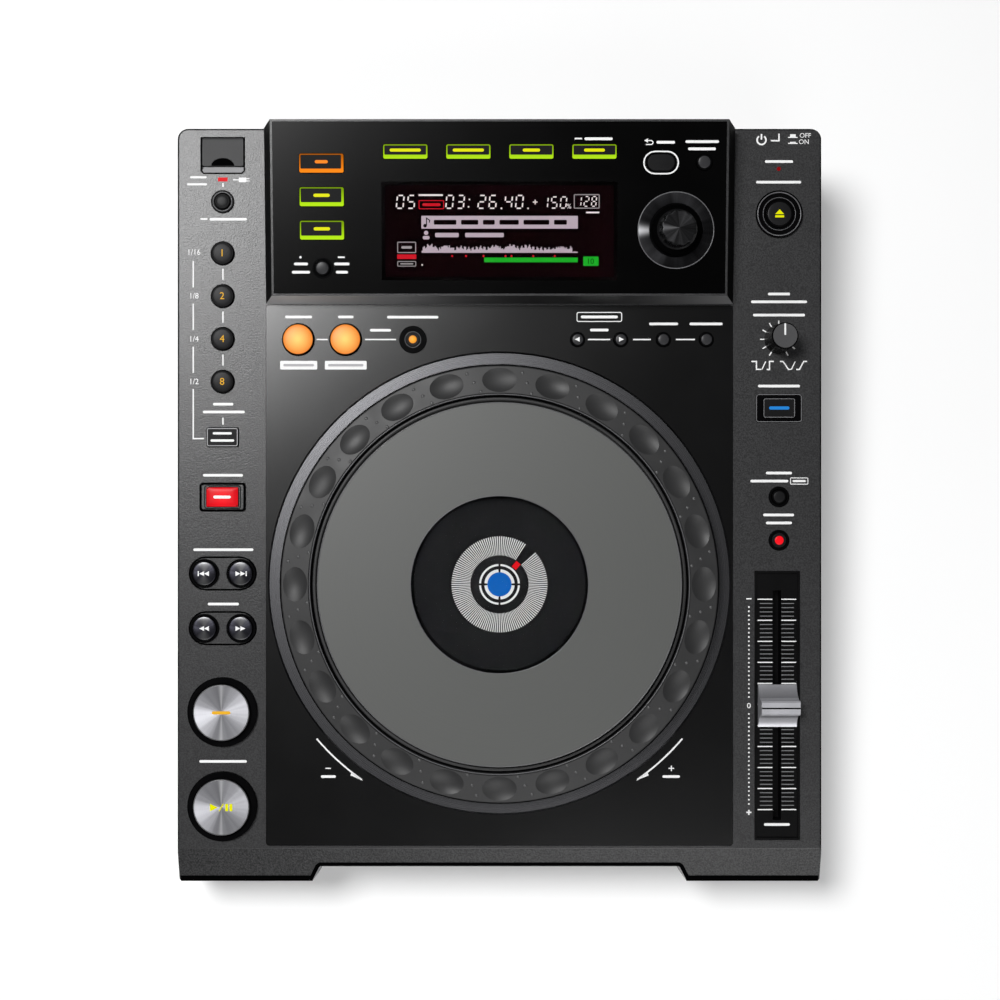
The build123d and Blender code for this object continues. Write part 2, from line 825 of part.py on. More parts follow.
def upper_case():
    body = rounded_case_block() + hump_block()
    body -= case_block(case_wall)
    body -= hump_block(case_wall, above=far / 8)
    body -= hump_block(hump_rim, above=far / 8) & (on_face(0, 0) * slab(far, far, -face_sheet, far))
    ledge = deck_slab(-case_wall / 2, -deck_sheet - ledge_thickness, -deck_sheet)
    body += ledge
    body -= deck_slab(0, -deck_sheet, 1)
    body -= deck_slab(ledge_width, -far / 4, 1)
    body -= block((-far, far), (-far, far), (-far, split_height))
    body -= block((-slot_width / 2, slot_width / 2), (lip_y - 1, recess_y + 3 * case_wall),
                  around(slot_height, slot_opening / 2))
    rear_hole = rear_panel_block(0, -1)
    body -= rear_hole
    body -= Pos(0, -rear_panel_sheet, 0) * rear_hole
    body += screw_bosses()
    body += port_well()
    body -= port_cuts()
    body -= wing_pockets()
    body += posts(on_deck, left_posts + right_posts, wing_skin)
    return body


def pan_bosses():
    """Stand-offs on the pan for the two big boards, and taller ones for the disc drive."""
    found = []
    for x_range in (main_board_x, power_board_x):
        for x in (x_range[0] + standoff_inset, x_range[1] - standoff_inset):
            for y in (main_board_y[0] + standoff_inset, main_board_y[1] - standoff_inset):
                found.append(Pos(x, y, 0) * post(standoff_radius, pan_top - pan_sheet / 2, main_board_z))
    for x, y in drive_leg_spots():
        found.append(Pos(x, y, 0) * post(drive_leg_radius, pan_top - pan_sheet / 2, drive_base))
    return found


def lower_case():
    """The bottom pan with its upturned rim and the rear panel."""
    rim_top = split_height - seam_gap
    body = Pos(0, 0, foot_height) * extrude(plan(), pan_height - seam_gap)
    body -= Pos(0, 0, pan_top) * extrude(plan(pan_sheet), pan_height)
    body += rear_panel_block(fit_gap, rim_top - 1)
    body += pan_bosses()
    for boss in screw_places():
        body -= boss * post(screw_radius + 2 * fit_gap, 0, 2 * pan_top)
    body -= rear_openings()
    return body


def screw_places():
    places = []
    for side in (-1, 1):
        for v in boss_rows:
            foot = on_deck(side * boss_u, v).position
            places.append(Pos(foot.X, foot.Y, 0))
    return places


def case_screws():
    """Pan-head screws from below into the bosses of the upper case."""
    shank = post(screw_radius - running_gap, foot_height, pan_top + screw_reach - 1)
    head = post(screw_head_radius, foot_height - screw_head, foot_height)
    recess = slab(screw_slot, screw_slot_width, foot_height - screw_head - 1, foot_height - screw_head / 2)
    cross = recess + Rot(0, 0, 90) * recess
    return group(*[place * (shank + head - cross) for place in screw_places()])


def rubber_feet():
    feet = []
    for side in (-1, 1):
        for y in (lip_y + foot_inset, rear_y - foot_inset):
            pad = post(foot_radius, 0, foot_height)
            pad = fillet(pad.edges().group_by(Axis.Z)[0], 0.8)
            feet.append(Pos(side * (case_half - foot_inset), y, 0) * pad)
    return group(*feet)


# ================================================================ deck and display panels
def deck_panel():
    body = deck_slab(fit_gap, -deck_sheet, 0)
    body -= on_deck(0, jog_centre) * post(bezel_sleeve_radius + running_gap, -far, far)
    body -= [key_opening(key) for key in keys if key.panel == "deck"]
    body += posts(on_deck, deck_posts, deck_sheet)
    return body


def display_panel():
    inset = hump_rim + running_gap
    body = hump_block(inset, above=far / 8) & (on_face(0, 0) * slab(far, far, -face_sheet, 0))
    body -= on_face(0, window_w) * slab(window_width, window_length, -window_sheet, 1)
    body -= on_face(0, window_w) * slab(
        window_width - 2 * window_ledge, window_length - 2 * window_ledge, -far, 1)
    body -= [key_opening(key) for key in keys if key.panel == "face"]
    body -= on_face(selector_u, selector_w) * post(shaft_radius + key_clearance, -far, far)
    body += posts(on_face, face_posts, face_sheet)
    return body


def clear_lenses():
    """The display window and the two indicator lenses."""
    gap = 2 * running_gap
    window = on_face(0, window_w) * slab(window_width - gap, window_length - gap, -window_sheet, 0)
    lamp = on_deck(left_column, lamp_v) * slab(lamp_width, lamp_length, -wing_skin - 1, 0.2)
    standby = on_deck(right_column, standby_v) * post(standby_radius, -wing_skin - 1, 0.3)
    return group(window, lamp, standby)


def display_modules():
    """The main display behind its window and the round one on the jog wheel's post."""
    main = on_face(0, window_w) * slab(
        window_width, window_length, -face_sheet - display_depth, -face_sheet)
    low = jog_display_base
    jog = on_deck(0, jog_centre) * post(jog_display_radius, low, low + jog_display_height)
    return group(main, jog)


# ================================================================ jog wheel
bezel_bore = jog_dial_radius + jog_gap
bezel_sleeve_radius = bezel_bore + jog_bezel_wall
jog_ring_inner = jog_dial_radius - jog_ring_width
jog_web_top = jog_web_height + jog_web
jog_platter_under = jog_platter_top - jog_platter_sheet
jog_display_base = jog_platter_under - jog_platter_travel - key_stop_gap - jog_display_height
jog_rim_outer = bezel_sleeve_radius + jog_rim_wall + jog_rim_gap


def jog_bezel():
    low = -deck_sheet
    section = [(bezel_bore, low), (bezel_sleeve_radius, low), (bezel_sleeve_radius, 0),
               (jog_bezel_radius, 0), (jog_bezel_radius, jog_bezel_height / 3),
               (jog_bezel_radius - jog_bezel_bevel, jog_bezel_height), (bezel_bore, jog_bezel_height)]
    return on_deck(0, jog_centre) * turned(section)


def jog_bearing():
    """The plate under the deck, its rim, and the hollow post that the dial turns on."""
    rim_inner = jog_rim_outer - jog_rim_wall
    low = -jog_plate_depth
    plate_top = low + jog_plate_sheet
    post_top = jog_display_base
    boss = jog_post_radius + bearing_boss
    boss_top = -jog_drum_depth - key_stop_gap
    section = [(jog_post_bore, low), (jog_rim_outer, low), (jog_rim_outer, -deck_sheet),
               (rim_inner, -deck_sheet), (rim_inner, plate_top), (boss, plate_top), (boss, boss_top),
               (jog_post_radius, boss_top), (jog_post_radius, post_top), (jog_post_bore, post_top)]
    return on_deck(0, jog_centre) * turned(section)


def dimple_cutter():
    """A lens turned about a cross axis and laid flat: length along Y, width along X, bottom down."""
    sag = dimple_depth
    turn_radius = (dimple_length / 2) ** 2 / (2 * sag) + sag / 2
    half = dimple_width / 2
    sides = Polyline((-half, 0), (-half, sag), (half, sag), (half, 0))
    bottom = ThreePointArc((half, 0), (0, -sag), (-half, 0))
    pivot = Axis((0, turn_radius - sag, 0), (1, 0, 0))
    sweep = 3 * degrees(atan2(dimple_length / 2, turn_radius - sag))
    lens = revolve(make_face([sides, bottom]), pivot, revolution_arc=sweep)
    return Rot(90, 0, 0) * lens.rotate(pivot, -sweep / 2)


def jog_dial():
    outer = jog_dial_radius
    inner = jog_ring_inner
    edge = jog_dial_edge
    crest = edge + jog_dial_rise
    hub = jog_post_radius + running_gap
    hub_outer = jog_post_radius + jog_hub_wall
    drop = jog_dial_edge_drop
    hub_top = jog_display_base - key_stop_gap
    drum = inner - jog_drum_wall
    section = [(hub, -jog_drum_depth), (hub_outer, -jog_drum_depth), (hub_outer, jog_web_height),
               (drum, jog_web_height), (drum, -jog_drum_depth), (outer, -jog_drum_depth),
               (outer, edge), (outer - 1, edge + drop), (inner + 1, crest), (inner, crest - drop),
               (inner, jog_web_top), (hub_outer, jog_web_top), (hub_outer, hub_top), (hub, hub_top)]
    body = turned(section)
    middle = outer - jog_ring_width / 2 - 0.2
    lean = degrees(atan2(jog_dial_rise - drop, jog_ring_width - 2))
    surface = edge + drop + (outer - 1 - middle) * tan(radians(lean))
    cutter = dimple_cutter()
    spots = [Rot(0, 0, 90 + i * 360 / dimple_count) * Pos(middle, 0, surface) * Rot(0, lean, 0)
             for i in range(dimple_count)]
    body -= [spot * cutter for spot in spots]
    return on_deck(0, jog_centre) * body


def jog_platter():
    """The touch plate with its clear centre window."""
    outer = jog_platter_radius
    under = jog_platter_under
    skirt = jog_web_top + jog_platter_travel + key_stop_gap
    seat = jog_window_radius - 1.2
    window_low = jog_platter_top - jog_window_sheet
    section = [(seat, under), (outer - 3, under), (outer - 3, skirt), (outer, skirt),
               (outer, jog_platter_top - 0.5), (outer - 0.5, jog_platter_top),
               (jog_window_radius, jog_platter_top), (jog_window_radius, window_low),
               (seat, window_low)]
    window = post(jog_window_radius - running_gap, window_low, jog_platter_top)
    return group(on_deck(0, jog_centre) * turned(section), on_deck(0, jog_centre) * window)


# ================================================================ knobs and fader
def selector_shaft():
    """The push shaft, with a collar that keeps it under the panel."""
    collar = -face_sheet - key_clearance
    low = encoder_height - board_depth + selector_push + key_stop_gap
    body = post(shaft_radius, low, selector_cap_height - knob_roof)
    body += post(shaft_radius + collar_reach, collar - key_flange, collar)
    return on_face(selector_u, selector_w) * body


def selector_knob():
    base = selector_dish_height + selector_push + key_stop_gap
    skirt = base + selector_skirt_height
    cap = selector_cap_radius
    top = selector_cap_height
    bore = shaft_radius + running_gap
    bore_top = top - knob_roof + running_gap
    soft = selector_fillet
    shoulder = skirt + selector_shoulder
    section = [(bore, base), (selector_skirt_radius, base), (selector_skirt_radius, skirt - soft),
               (selector_skirt_radius - soft, skirt), (cap + soft, shoulder), (cap, shoulder + soft),
               (cap - soft / 2, top - soft), (cap - 3 * soft / 2, top), (0, top), (0, bore_top),
               (bore, bore_top)]
    body = turned(section)
    flute = post(selector_flute_radius, shoulder + soft, top + 1)
    ring = cap + selector_flute_radius - soft
    body -= [Rot(0, 0, i * 360 / selector_flutes) * Pos(ring, 0, 0) * flute
             for i in range(selector_flutes)]
    return on_face(selector_u, selector_w) * body


def selector_dish():
    """The shallow dish that lies on the display panel round the selector."""
    height = selector_dish_height
    outer = selector_dish_radius
    section = [(shaft_radius + key_clearance, 0), (outer, 0), (outer, height / 2),
               (outer - dish_rim / 2, height), (outer - dish_rim, height),
               (selector_skirt_radius + 1, height / 2),
               (shaft_radius + key_clearance, height / 2)]
    return on_face(selector_u, selector_w) * turned(section)


def speed_knob():
    base = knob_lift
    top = speed_height
    bore = shaft_radius + running_gap
    bore_top = top - knob_roof + running_gap
    section = [(bore, base), (speed_base_radius, base), (speed_base_radius, base + speed_skirt),
               (speed_top_radius, top - speed_edge), (speed_top_radius - speed_edge, top), (0, top),
               (0, bore_top), (bore, bore_top)]
    body = turned(section)
    groove = slab(speed_pointer_width, speed_top_radius, top - speed_pointer_depth, top + 1)
    body -= Pos(0, speed_top_radius / 2, 0) * groove
    return on_deck(right_column, speed_v) * body


def fader_slot_length():
    return 2 * (fader_travel + key_clearance + fader_end_play) + fader_stem_length


def fader_tray():
    """The sunk tray with the slot that the fader's stem runs in."""
    floor = -fader_sink
    under = -wing_skin
    body = slab(fader_tray_width, fader_tray_length, under, 0)
    body -= slab(fader_tray_width - 2 * fader_rim, fader_tray_length - 2 * fader_rim, floor, 1)
    grown = 2 * fader_flange_reach
    body += slab(fader_tray_width + grown, fader_tray_length + grown, under - fader_flange, under)
    body -= slab(fader_slot_width, fader_slot_length(), -far, 1)
    return on_deck(fader_u, fader_v) * body


def fader_unit():
    """The tray and, under it, the body of the slide potentiometer."""
    top = -wing_skin - fader_flange
    length = fader_slot_length() + 2 * fader_end_wall
    body = slab(fader_body_width, length, top - fader_body_depth, top)
    body -= slab(fader_slot_width, fader_slot_length(), top - fader_channel_depth, 1)
    return group(fader_tray(), on_deck(fader_u, fader_v) * body)


def tempo_slider():
    """The fader cap: skirt, two hollow slopes up to a ridge, and the stem."""
    half = slider_length / 2
    ridge = slider_ridge / 2
    low = -fader_sink + key_stop_gap
    skirt = low + slider_skirt
    top = slider_height
    sag_v = ridge + 0.30 * (half - ridge)
    sag_h = skirt + 0.28 * (top - skirt)
    lines = [Polyline((-half, skirt), (-half, low), (half, low), (half, skirt)),
             ThreePointArc((half, skirt), (sag_v, sag_h), (ridge, top - 0.8)),
             Line((ridge, top - 0.8), (ridge - 0.8, top)),
             Line((ridge - 0.8, top), (0.8 - ridge, top)),
             Line((0.8 - ridge, top), (-ridge, top - 0.8)),
             ThreePointArc((-ridge, top - 0.8), (-sag_v, sag_h), (-half, skirt))]
    body = extrude(Plane.YZ * make_face(lines), slider_width / 2, both=True)
    stem_low = -wing_skin - fader_flange - fader_channel_depth + key_stop_gap
    body += slab(fader_stem_width, fader_stem_length, stem_low, low + 0.5)
    return on_deck(fader_u, fader_v) * body


def control_surrounds():
    """Rings, frames, trays and the dish that lie round the keys and the selector."""
    rings = [surround_solid(key) for key in keys if key.name in surrounds]
    return group(*rings, pair_tray_solid(track_v), pair_tray_solid(search_v), selector_dish())


# ================================================================ memory-stick port
def usb_lid():
    """A flap with a finger notch, a rolled rear edge and a pin at each side."""
    radius = lid_barrel_radius
    rear = lid_length / 2 - radius
    plate = Pos(0, -radius / 2, 0) * plug(lid_width, lid_length - radius, lid_corner, -lid_sheet, 0)
    plate -= Pos(0, rear + far / 2, 0) * slab(far, far, -far, far)
    barrel = Pos(0, rear, -radius) * Rot(0, 90, 0) * Cylinder(radius, lid_width)
    pins = Pos(0, rear, -radius) * Rot(0, 90, 0) * Cylinder(lid_pin_radius, lid_width + 2 * lid_pin_length)
    notch = extrude(Ellipse(lid_notch_width / 2, lid_notch_depth), lid_sheet / 2)
    body = plate + barrel + pins
    body -= Pos(0, -lid_length / 2, -lid_sheet / 2) * notch
    return on_deck(left_column, lid_v) * body


def stick_socket():
    """The upright socket under the lid: a thin shell round a tongue."""
    top = -well_depth - well_wall / 2
    low = top - stick_socket_depth
    width = stick_socket_width
    height = stick_socket_height
    shell = slab(width, height, low, top)
    shell += slab(width + 3, height + 3, -well_depth - well_wall - 1, -well_depth - well_wall)
    inside = 2 * stick_shell
    shell -= slab(width - inside, height - inside, low + 1, top + 1)
    tongue = slab(width - inside - 1.4, stick_tongue, low + 0.5, top - 0.8)
    shell += Pos(0, height / 2 - stick_shell - 0.6 - stick_tongue / 2, 0) * tongue
    return on_deck(left_column, lid_v) * shell


# ================================================================ rear sockets
def rear_openings():
    """Holes in the rear panel."""
    deep = (rear_y - 2 * rear_panel_sheet, rear_y + 1)
    gap = 2 * fit_gap
    cuts = [block(around(inlet_x, inlet_width / 2 + inlet_wall + fit_gap), deep,
                  around(inlet_z, inlet_height / 2 + inlet_wall + fit_gap))]
    cuts.append(block(around(host_x, host_width / 2 + fit_gap), deep,
                      around(socket_z, host_height / 2 + fit_gap)))
    cuts.append(block(around(switch_x, power_cap / 2 + key_clearance), deep,
                      around(inlet_z, power_cap / 2 + key_clearance)))
    cuts.append(block(around(lock_x, lock_width / 2), deep, around(socket_z, lock_height / 2)))
    for x in phono_places():
        cuts.append(rear_rod(x, phono_radius + gap, 2 * rear_panel_sheet, 1))
    cuts.append(rear_rod(jack_x, jack_bush_radius + gap, 2 * rear_panel_sheet, 1))
    return cuts


def phono_places():
    return (phono_x - phono_spread / 2, phono_x + phono_spread / 2)


def rear_rod(x, radius, inside, outside):
    """A round bar through the rear panel, reaching in and out of it."""
    length = inside + outside
    middle = rear_y + (outside - inside) / 2
    return Pos(x, middle, socket_z) * Rot(90, 0, 0) * Cylinder(radius, length)


def phono_socket(x):
    base = block(around(x, phono_spread / 2 - fit_gap), (rear_y, rear_y + phono_base),
                 around(socket_z, 2 * phono_radius))
    sleeve = rear_rod(x, phono_radius, phono_inside, phono_base + phono_length)
    return base + sleeve - rear_rod(x, phono_bore, 0, far)


def mains_inlet():
    """A flanged shroud round two flat pins."""
    wall = inlet_wall
    shroud = block(around(inlet_x, inlet_width / 2 + wall), (rear_y - inlet_depth - 4, rear_y + inlet_flange),
                   around(inlet_z, inlet_height / 2 + wall))
    reach = wall + inlet_flange_reach
    flange = block(around(inlet_x, inlet_width / 2 + reach), (rear_y, rear_y + inlet_flange),
                   around(inlet_z, inlet_height / 2 + reach))
    body = shroud + flange
    body -= block(around(inlet_x, inlet_width / 2), (rear_y + inlet_flange - inlet_depth, rear_y + far),
                  around(inlet_z, inlet_height / 2))
    for side in (-1, 1):
        pin_x = inlet_x + side * inlet_pin_spread / 2
        body += block(around(pin_x, inlet_pin[0] / 2), (rear_y - inlet_depth, rear_y - inlet_flange),
                      around(inlet_z, inlet_pin[1] / 2))
    return body


def host_socket():
    """The square socket for a computer lead, with its tongue."""
    outer = block(around(host_x, host_width / 2), (rear_y - host_depth, rear_y + 1),
                  around(socket_z, host_height / 2))
    outer -= block(around(host_x, host_width / 2 - host_shell), (rear_y + 2 - host_depth, rear_y + far),
                   around(socket_z, host_height / 2 - host_shell))
    outer += block(around(host_x, host_tongue_width / 2), (rear_y + 1 - host_depth, rear_y - 1),
                   around(socket_z, host_tongue_height / 2))
    return outer


def control_jack():
    bush = rear_rod(jack_x, jack_bush_radius, rear_panel_sheet, jack_proud)
    body = block(around(jack_x, jack_body / 2), (rear_y - jack_depth - 2, rear_y - rear_panel_sheet),
                 around(socket_z, jack_body / 2))
    return bush + body - rear_rod(jack_x, jack_bore, jack_depth, far)


def power_switch():
    """The body of the mains switch behind its button."""
    front = rear_y - rear_panel_sheet - power_travel - key_stop_gap - power_root
    return block(around(switch_x, power_body / 2), (front - power_body_depth, front),
                 around(inlet_z, power_body / 2)) + switch_bracket(front)


def switch_bracket(front):
    """A sleeve from the switch to the rear panel that the button slides in."""
    half = power_cap / 2 + key_clearance
    sleeve = block(around(switch_x, half + 1), (front, rear_y - rear_panel_sheet), around(inlet_z, half + 1))
    return sleeve - block(around(switch_x, half), (front, rear_y), around(inlet_z, half))


def lock_slot():
    """The reinforcing plate behind the slot for a security lock."""
    plate_rear = rear_y - rear_panel_sheet
    plate = block(around(lock_x, lock_width), (plate_rear - lock_plate, plate_rear),
                  around(socket_z, lock_width))
    return plate - block(around(lock_x, lock_width / 2), (plate_rear - 2 * lock_plate, rear_y),
                         around(socket_z, lock_height / 2))


def sockets():
    return group(mains_inlet(), *[phono_socket(x) for x in phono_places()], host_socket(), control_jack(),
                 power_switch(), lock_slot(), stick_socket())


def power_button():
    front = rear_y - rear_panel_sheet - power_root
    half = power_cap / 2
    cap = block(around(switch_x, half), (front, rear_y + power_proud), around(inlet_z, half))
    cap = fillet(cap.edges().group_by(Axis.Y)[-1], key_edge)
    return cap


# ================================================================ disc drive
drive_half = drive_width / 2
roller_y = drive_front + roller_offset
spindle_y = drive_front + spindle_offset
guide_top = slot_height - guide_drop
roller_z = guide_top + 0.8 - roller_radius
sled_y = spindle_y + sled_start
sled_z = sled_base + sled_height / 2
rod_start = sled_y - sled_length / 2 - sled_bracket - key_stop_gap
rod_end = sled_y + sled_travel + sled_length / 2 + sled_bracket + 2 * key_stop_gap


def drive_leg_spots():
    inset = drive_leg_inset
    return [(side * (drive_half - inset), y) for side in (-1, 1)
            for y in (drive_front + inset, drive_rear - inset)]


def sled_rods():
    """Two rods along the drive and the brackets at their ends."""
    found = []
    for side in (-1, 1):
        x = side * sled_rod_spread / 2
        rod = Pos(x, (rod_start + rod_end) / 2, sled_z) * Rot(90, 0, 0) * Cylinder(
            sled_rod_radius, rod_end - rod_start)
        found.append(rod)
        for y in (rod_start, rod_end - sled_bracket):
            found.append(block(around(x, 3), (y, y + sled_bracket),
                               (drive_base + drive_sheet / 2, sled_z + sled_rod_radius + 0.8)))
    return found


def drive_frame():
    """Sheet frame: base, sides, disc guide and roof, with motor, rods and clamp."""
    roof = drive_roof + drive_sheet
    y_range = (drive_front, drive_rear)
    body = block(around(0, drive_half), y_range, (drive_base, drive_base + drive_sheet))
    body += block(around(0, drive_half), y_range, (guide_top - drive_sheet, guide_top))
    body += block(around(0, drive_half), y_range, (drive_roof, roof))
    for side in (-1, 1):
        outer = side * drive_half
        body += block(sorted((outer, outer - side * drive_sheet)), y_range, (drive_base, roof))
    hub = turntable_radius + 2
    body -= block(around(0, max(hub, sled_width / 2 + 2)), (spindle_y - hub, rod_end + 2),
                  (guide_top - 2 * drive_sheet, guide_top + 1))
    body -= block(around(0, roller_length / 2 + 2), around(roller_y, roller_radius + 1),
                  (guide_top - 2 * drive_sheet, guide_top + 1))
    body -= Pos(0, roller_y, roller_z) * Rot(0, 90, 0) * Cylinder(
        roller_shaft_radius + running_gap, drive_width + 2)
    motor_top = drive_base + drive_sheet + motor_height
    body += Pos(0, spindle_y, 0) * post(motor_radius, drive_base, motor_top)
    body -= Pos(0, spindle_y, 0) * post(spindle_radius + running_gap, drive_base + drive_sheet, far)
    body += sled_rods()
    clamp = Pos(0, spindle_y, 0) * post(clamp_radius, drive_roof - 1, roof + clamp_sheet)
    return body + clamp


def drive_spindle():
    """Shaft, turntable and the cone that centres the disc."""
    low = drive_base + drive_sheet + key_stop_gap
    plate_top = turntable_height + turntable_sheet
    body = post(spindle_radius, low, turntable_height)
    body += post(turntable_radius, turntable_height, plate_top)
    body += Pos(0, 0, plate_top) * Cone(cone_radius, cone_radius - 1.2, cone_height,
                                        align=(Align.CENTER, Align.CENTER, Align.MIN))
    return Pos(0, spindle_y, 0) * body


def pickup_sled():
    body = block(around(0, sled_width / 2), around(sled_y, sled_length / 2),
                 (sled_base, sled_base + sled_height))
    for side in (-1, 1):
        body -= Pos(side * sled_rod_spread / 2, sled_y, sled_z) * Rot(90, 0, 0) * Cylinder(
            sled_rod_radius + running_gap, 2 * sled_length)
    body += Pos(0, sled_y, 0) * post(lens_radius, sled_base + sled_height, sled_base + sled_height + 0.8)
    return body


def loading_roller():
    """A steel shaft with a rubber roller that draws the disc in."""
    lying = Pos(0, roller_y, roller_z) * Rot(0, 90, 0)
    shaft = lying * Cylinder(roller_shaft_radius, drive_width + 4)
    roller = lying * Cylinder(roller_radius, roller_length)
    return shaft + roller


# ================================================================ boards
def wing_boards():
    """The control boards under the wings, with their switches and the speed potentiometer."""
    left = board(on_deck, -wing_board_u, wing_board_width, left_board_v)
    left += switches("wing", -1)
    right = board(on_deck, wing_board_u, wing_board_width, right_board_v)
    right += switches("wing", 1)
    spot = on_deck(right_column, speed_v)
    right += spot * slab(encoder_size, encoder_size, -board_depth, encoder_height - board_depth)
    right += spot * post(shaft_radius, -board_depth, speed_height - knob_roof)
    return [left, right]


def panel_boards():
    """The boards under the deck's key row and under the display panel."""
    deck = board(on_deck, 0, deck_board_width, deck_board_v)
    deck += switches("deck")
    face = board(on_face, 0, face_board_width, face_board_w)
    face += switches("face")
    face += on_face(selector_u, selector_w) * slab(
        encoder_size, encoder_size, -board_depth, encoder_height - board_depth)
    return [deck, face]


# Blocks on the big boards: middle as shares of the board's width and length, then
# width, length and height.
main_chips = [(0.219, 0.255, 24.0, 24.0, 2.0), (0.492, 0.462, 18.0, 18.0, 2.0),
              (0.156, 0.634, 14.0, 20.0, 2.0), (0.766, 0.393, 12.0, 30.0, 6.0),
              (0.414, 0.807, 40.0, 8.0, 8.0)]
power_blocks = [(0.513, 0.393, 36.0, 30.0, 24.0), (0.872, 0.393, 4.0, 44.0, 28.0)]
capacitor_place, capacitor_spread = (0.385, 0.73), 18.0
capacitor_radius, capacitor_height = 8.0, 20.0


def big_board(x_range, blocks):
    """A board on the pan's stand-offs with blocks on it."""
    top = main_board_z + board_sheet
    body = block(x_range, main_board_y, (main_board_z, top))
    for x_share, y_share, width, length, height in blocks:
        x, y = board_place(x_range, x_share, y_share)
        body += block(around(x, width / 2), around(y, length / 2), (top, top + height))
    return body


def board_place(x_range, x_share, y_share):
    x = x_range[0] + x_share * (x_range[1] - x_range[0])
    y = main_board_y[0] + y_share * (main_board_y[1] - main_board_y[0])
    return x, y


def big_boards():
    """The main board and the mains power board with its capacitors."""
    main_board = big_board(main_board_x, main_chips)
    power_board = big_board(power_board_x, power_blocks)
    top = main_board_z + board_sheet
    x, y = board_place(power_board_x, *capacitor_place)
    for side in (-1, 1):
        power_board += Pos(x, y + side * capacitor_spread / 2, 0) * post(
            capacitor_radius, top, top + capacitor_height)
    return [main_board, power_board]


def circuit_boards():
    return group(*wing_boards(), *panel_boards(), *big_boards())


# ================================================================ all nodes
def all_nodes():
    nodes = {
        "upper_case": upper_case(),
        "lower_case": lower_case(),
        "deck_panel": deck_panel(),
        "display_panel": display_panel(),
        "clear_lenses": clear_lenses(),
        "display_modules": display_modules(),
        "jog_bezel": jog_bezel(),
        "jog_bearing": jog_bearing(),
        "control_surrounds": control_surrounds(),
        "fader_unit": fader_unit(),
        "circuit_boards": circuit_boards(),
        "drive_frame": drive_frame(),
        "sockets": sockets(),
        "rubber_feet": rubber_feet(),
        "case_screws": case_screws(),
        "jog_dial": jog_dial(),
        "jog_platter": jog_platter(),
        "selector_shaft": selector_shaft(),
        "selector_knob": selector_knob(),
        "speed_knob": speed_knob(),
        "tempo_slider": tempo_slider(),
        "usb_lid": usb_lid(),
        "power_button": power_button(),
        "drive_spindle": drive_spindle(),
        "loading_roller": loading_roller(),
        "pickup_sled": pickup_sled(),
    }
    for key in keys:
        nodes[key.name] = key_solid(key)
    return nodes


def main():
    os.makedirs("parts", exist_ok=True)
    for name, shape in all_nodes().items():
        export_step(shape, f"parts/{name}.step")


if __name__ == "__main__":
    main()
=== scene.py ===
"""Finishes, markings, lamps and stage for a tabletop disc player."""

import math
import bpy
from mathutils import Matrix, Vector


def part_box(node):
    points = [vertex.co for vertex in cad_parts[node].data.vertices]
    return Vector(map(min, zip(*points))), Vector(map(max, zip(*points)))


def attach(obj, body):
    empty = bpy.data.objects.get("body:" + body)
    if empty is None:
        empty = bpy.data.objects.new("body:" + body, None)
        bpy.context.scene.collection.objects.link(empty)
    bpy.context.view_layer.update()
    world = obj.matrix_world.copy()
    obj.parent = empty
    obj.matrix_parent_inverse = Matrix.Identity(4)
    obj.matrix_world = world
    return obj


bl_info = {
    "name": "Disc Player Dressing",
    "version": (1, 0, 0),
    "blender": (4, 5, 0),
    "location": "3D View > Sidebar > Disc Player",
    "description": "Gives a tabletop disc player its finishes, markings, lit displays and a studio stage",
    "category": "Object",
}

import bmesh
import bpy
from mathutils import Matrix, Vector

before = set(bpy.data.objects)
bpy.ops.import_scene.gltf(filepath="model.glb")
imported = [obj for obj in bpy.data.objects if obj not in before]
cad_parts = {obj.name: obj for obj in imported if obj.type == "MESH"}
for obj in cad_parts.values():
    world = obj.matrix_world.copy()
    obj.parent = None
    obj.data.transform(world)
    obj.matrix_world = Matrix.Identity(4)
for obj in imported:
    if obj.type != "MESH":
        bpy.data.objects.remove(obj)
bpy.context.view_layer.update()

MM = 0.001

# Places on the player, in millimetres: u runs to the right, v to the rear and h up from a plane. The
# deck slopes up from its front edge, and the display panel slopes a little more on top of the hump.
DECK_TILT, PANEL_RISE = 4.0, 4.94
EDGE_Y, EDGE_Z = -167.5, 53.2
PANEL_V, PANEL_H = 260.633, 14.0
WHEEL_V = 126.0
CASE_HALF, DECK_HALF, HUMP_HALF, HUMP_V, REAR_V = 152.9, 110.9, 106.2, 257.93, 341.83
LIP_V, LIP_H, BEVEL_FALL = -14.9, -11.5, 0.347
RECESS_HALF, RECESS_SLANT, RECESS_V = 85.6, 4.1, -8.2
LID_SLOPE_V, LID_NOTCH_V = 320.6, 324.2
BEZEL_INSIDE, WINDOW_RADIUS, DIMPLES = 104.6, 41.18, 24
DISPLAY_H, ROUND_DISPLAY_H, WINDOW_H, TITLE_V = -2.5, 12.7, 16.2, 34.1
PHONO_X, PHONO_Z, JACK_X, INLET_X, INLET_Z = (-61.5, -42.5), 30, -92, 88, 34
INK = 0.05

DECK = (Matrix.Translation((0, EDGE_Y * MM, EDGE_Z * MM))
        @ Matrix.Rotation(math.radians(DECK_TILT), 4, "X"))
PANEL = (DECK @ Matrix.Translation((0, PANEL_V * MM, PANEL_H * MM))
         @ Matrix.Rotation(math.radians(PANEL_RISE), 4, "X"))
WHEEL = DECK @ Matrix.Translation((0, WHEEL_V * MM, 0))

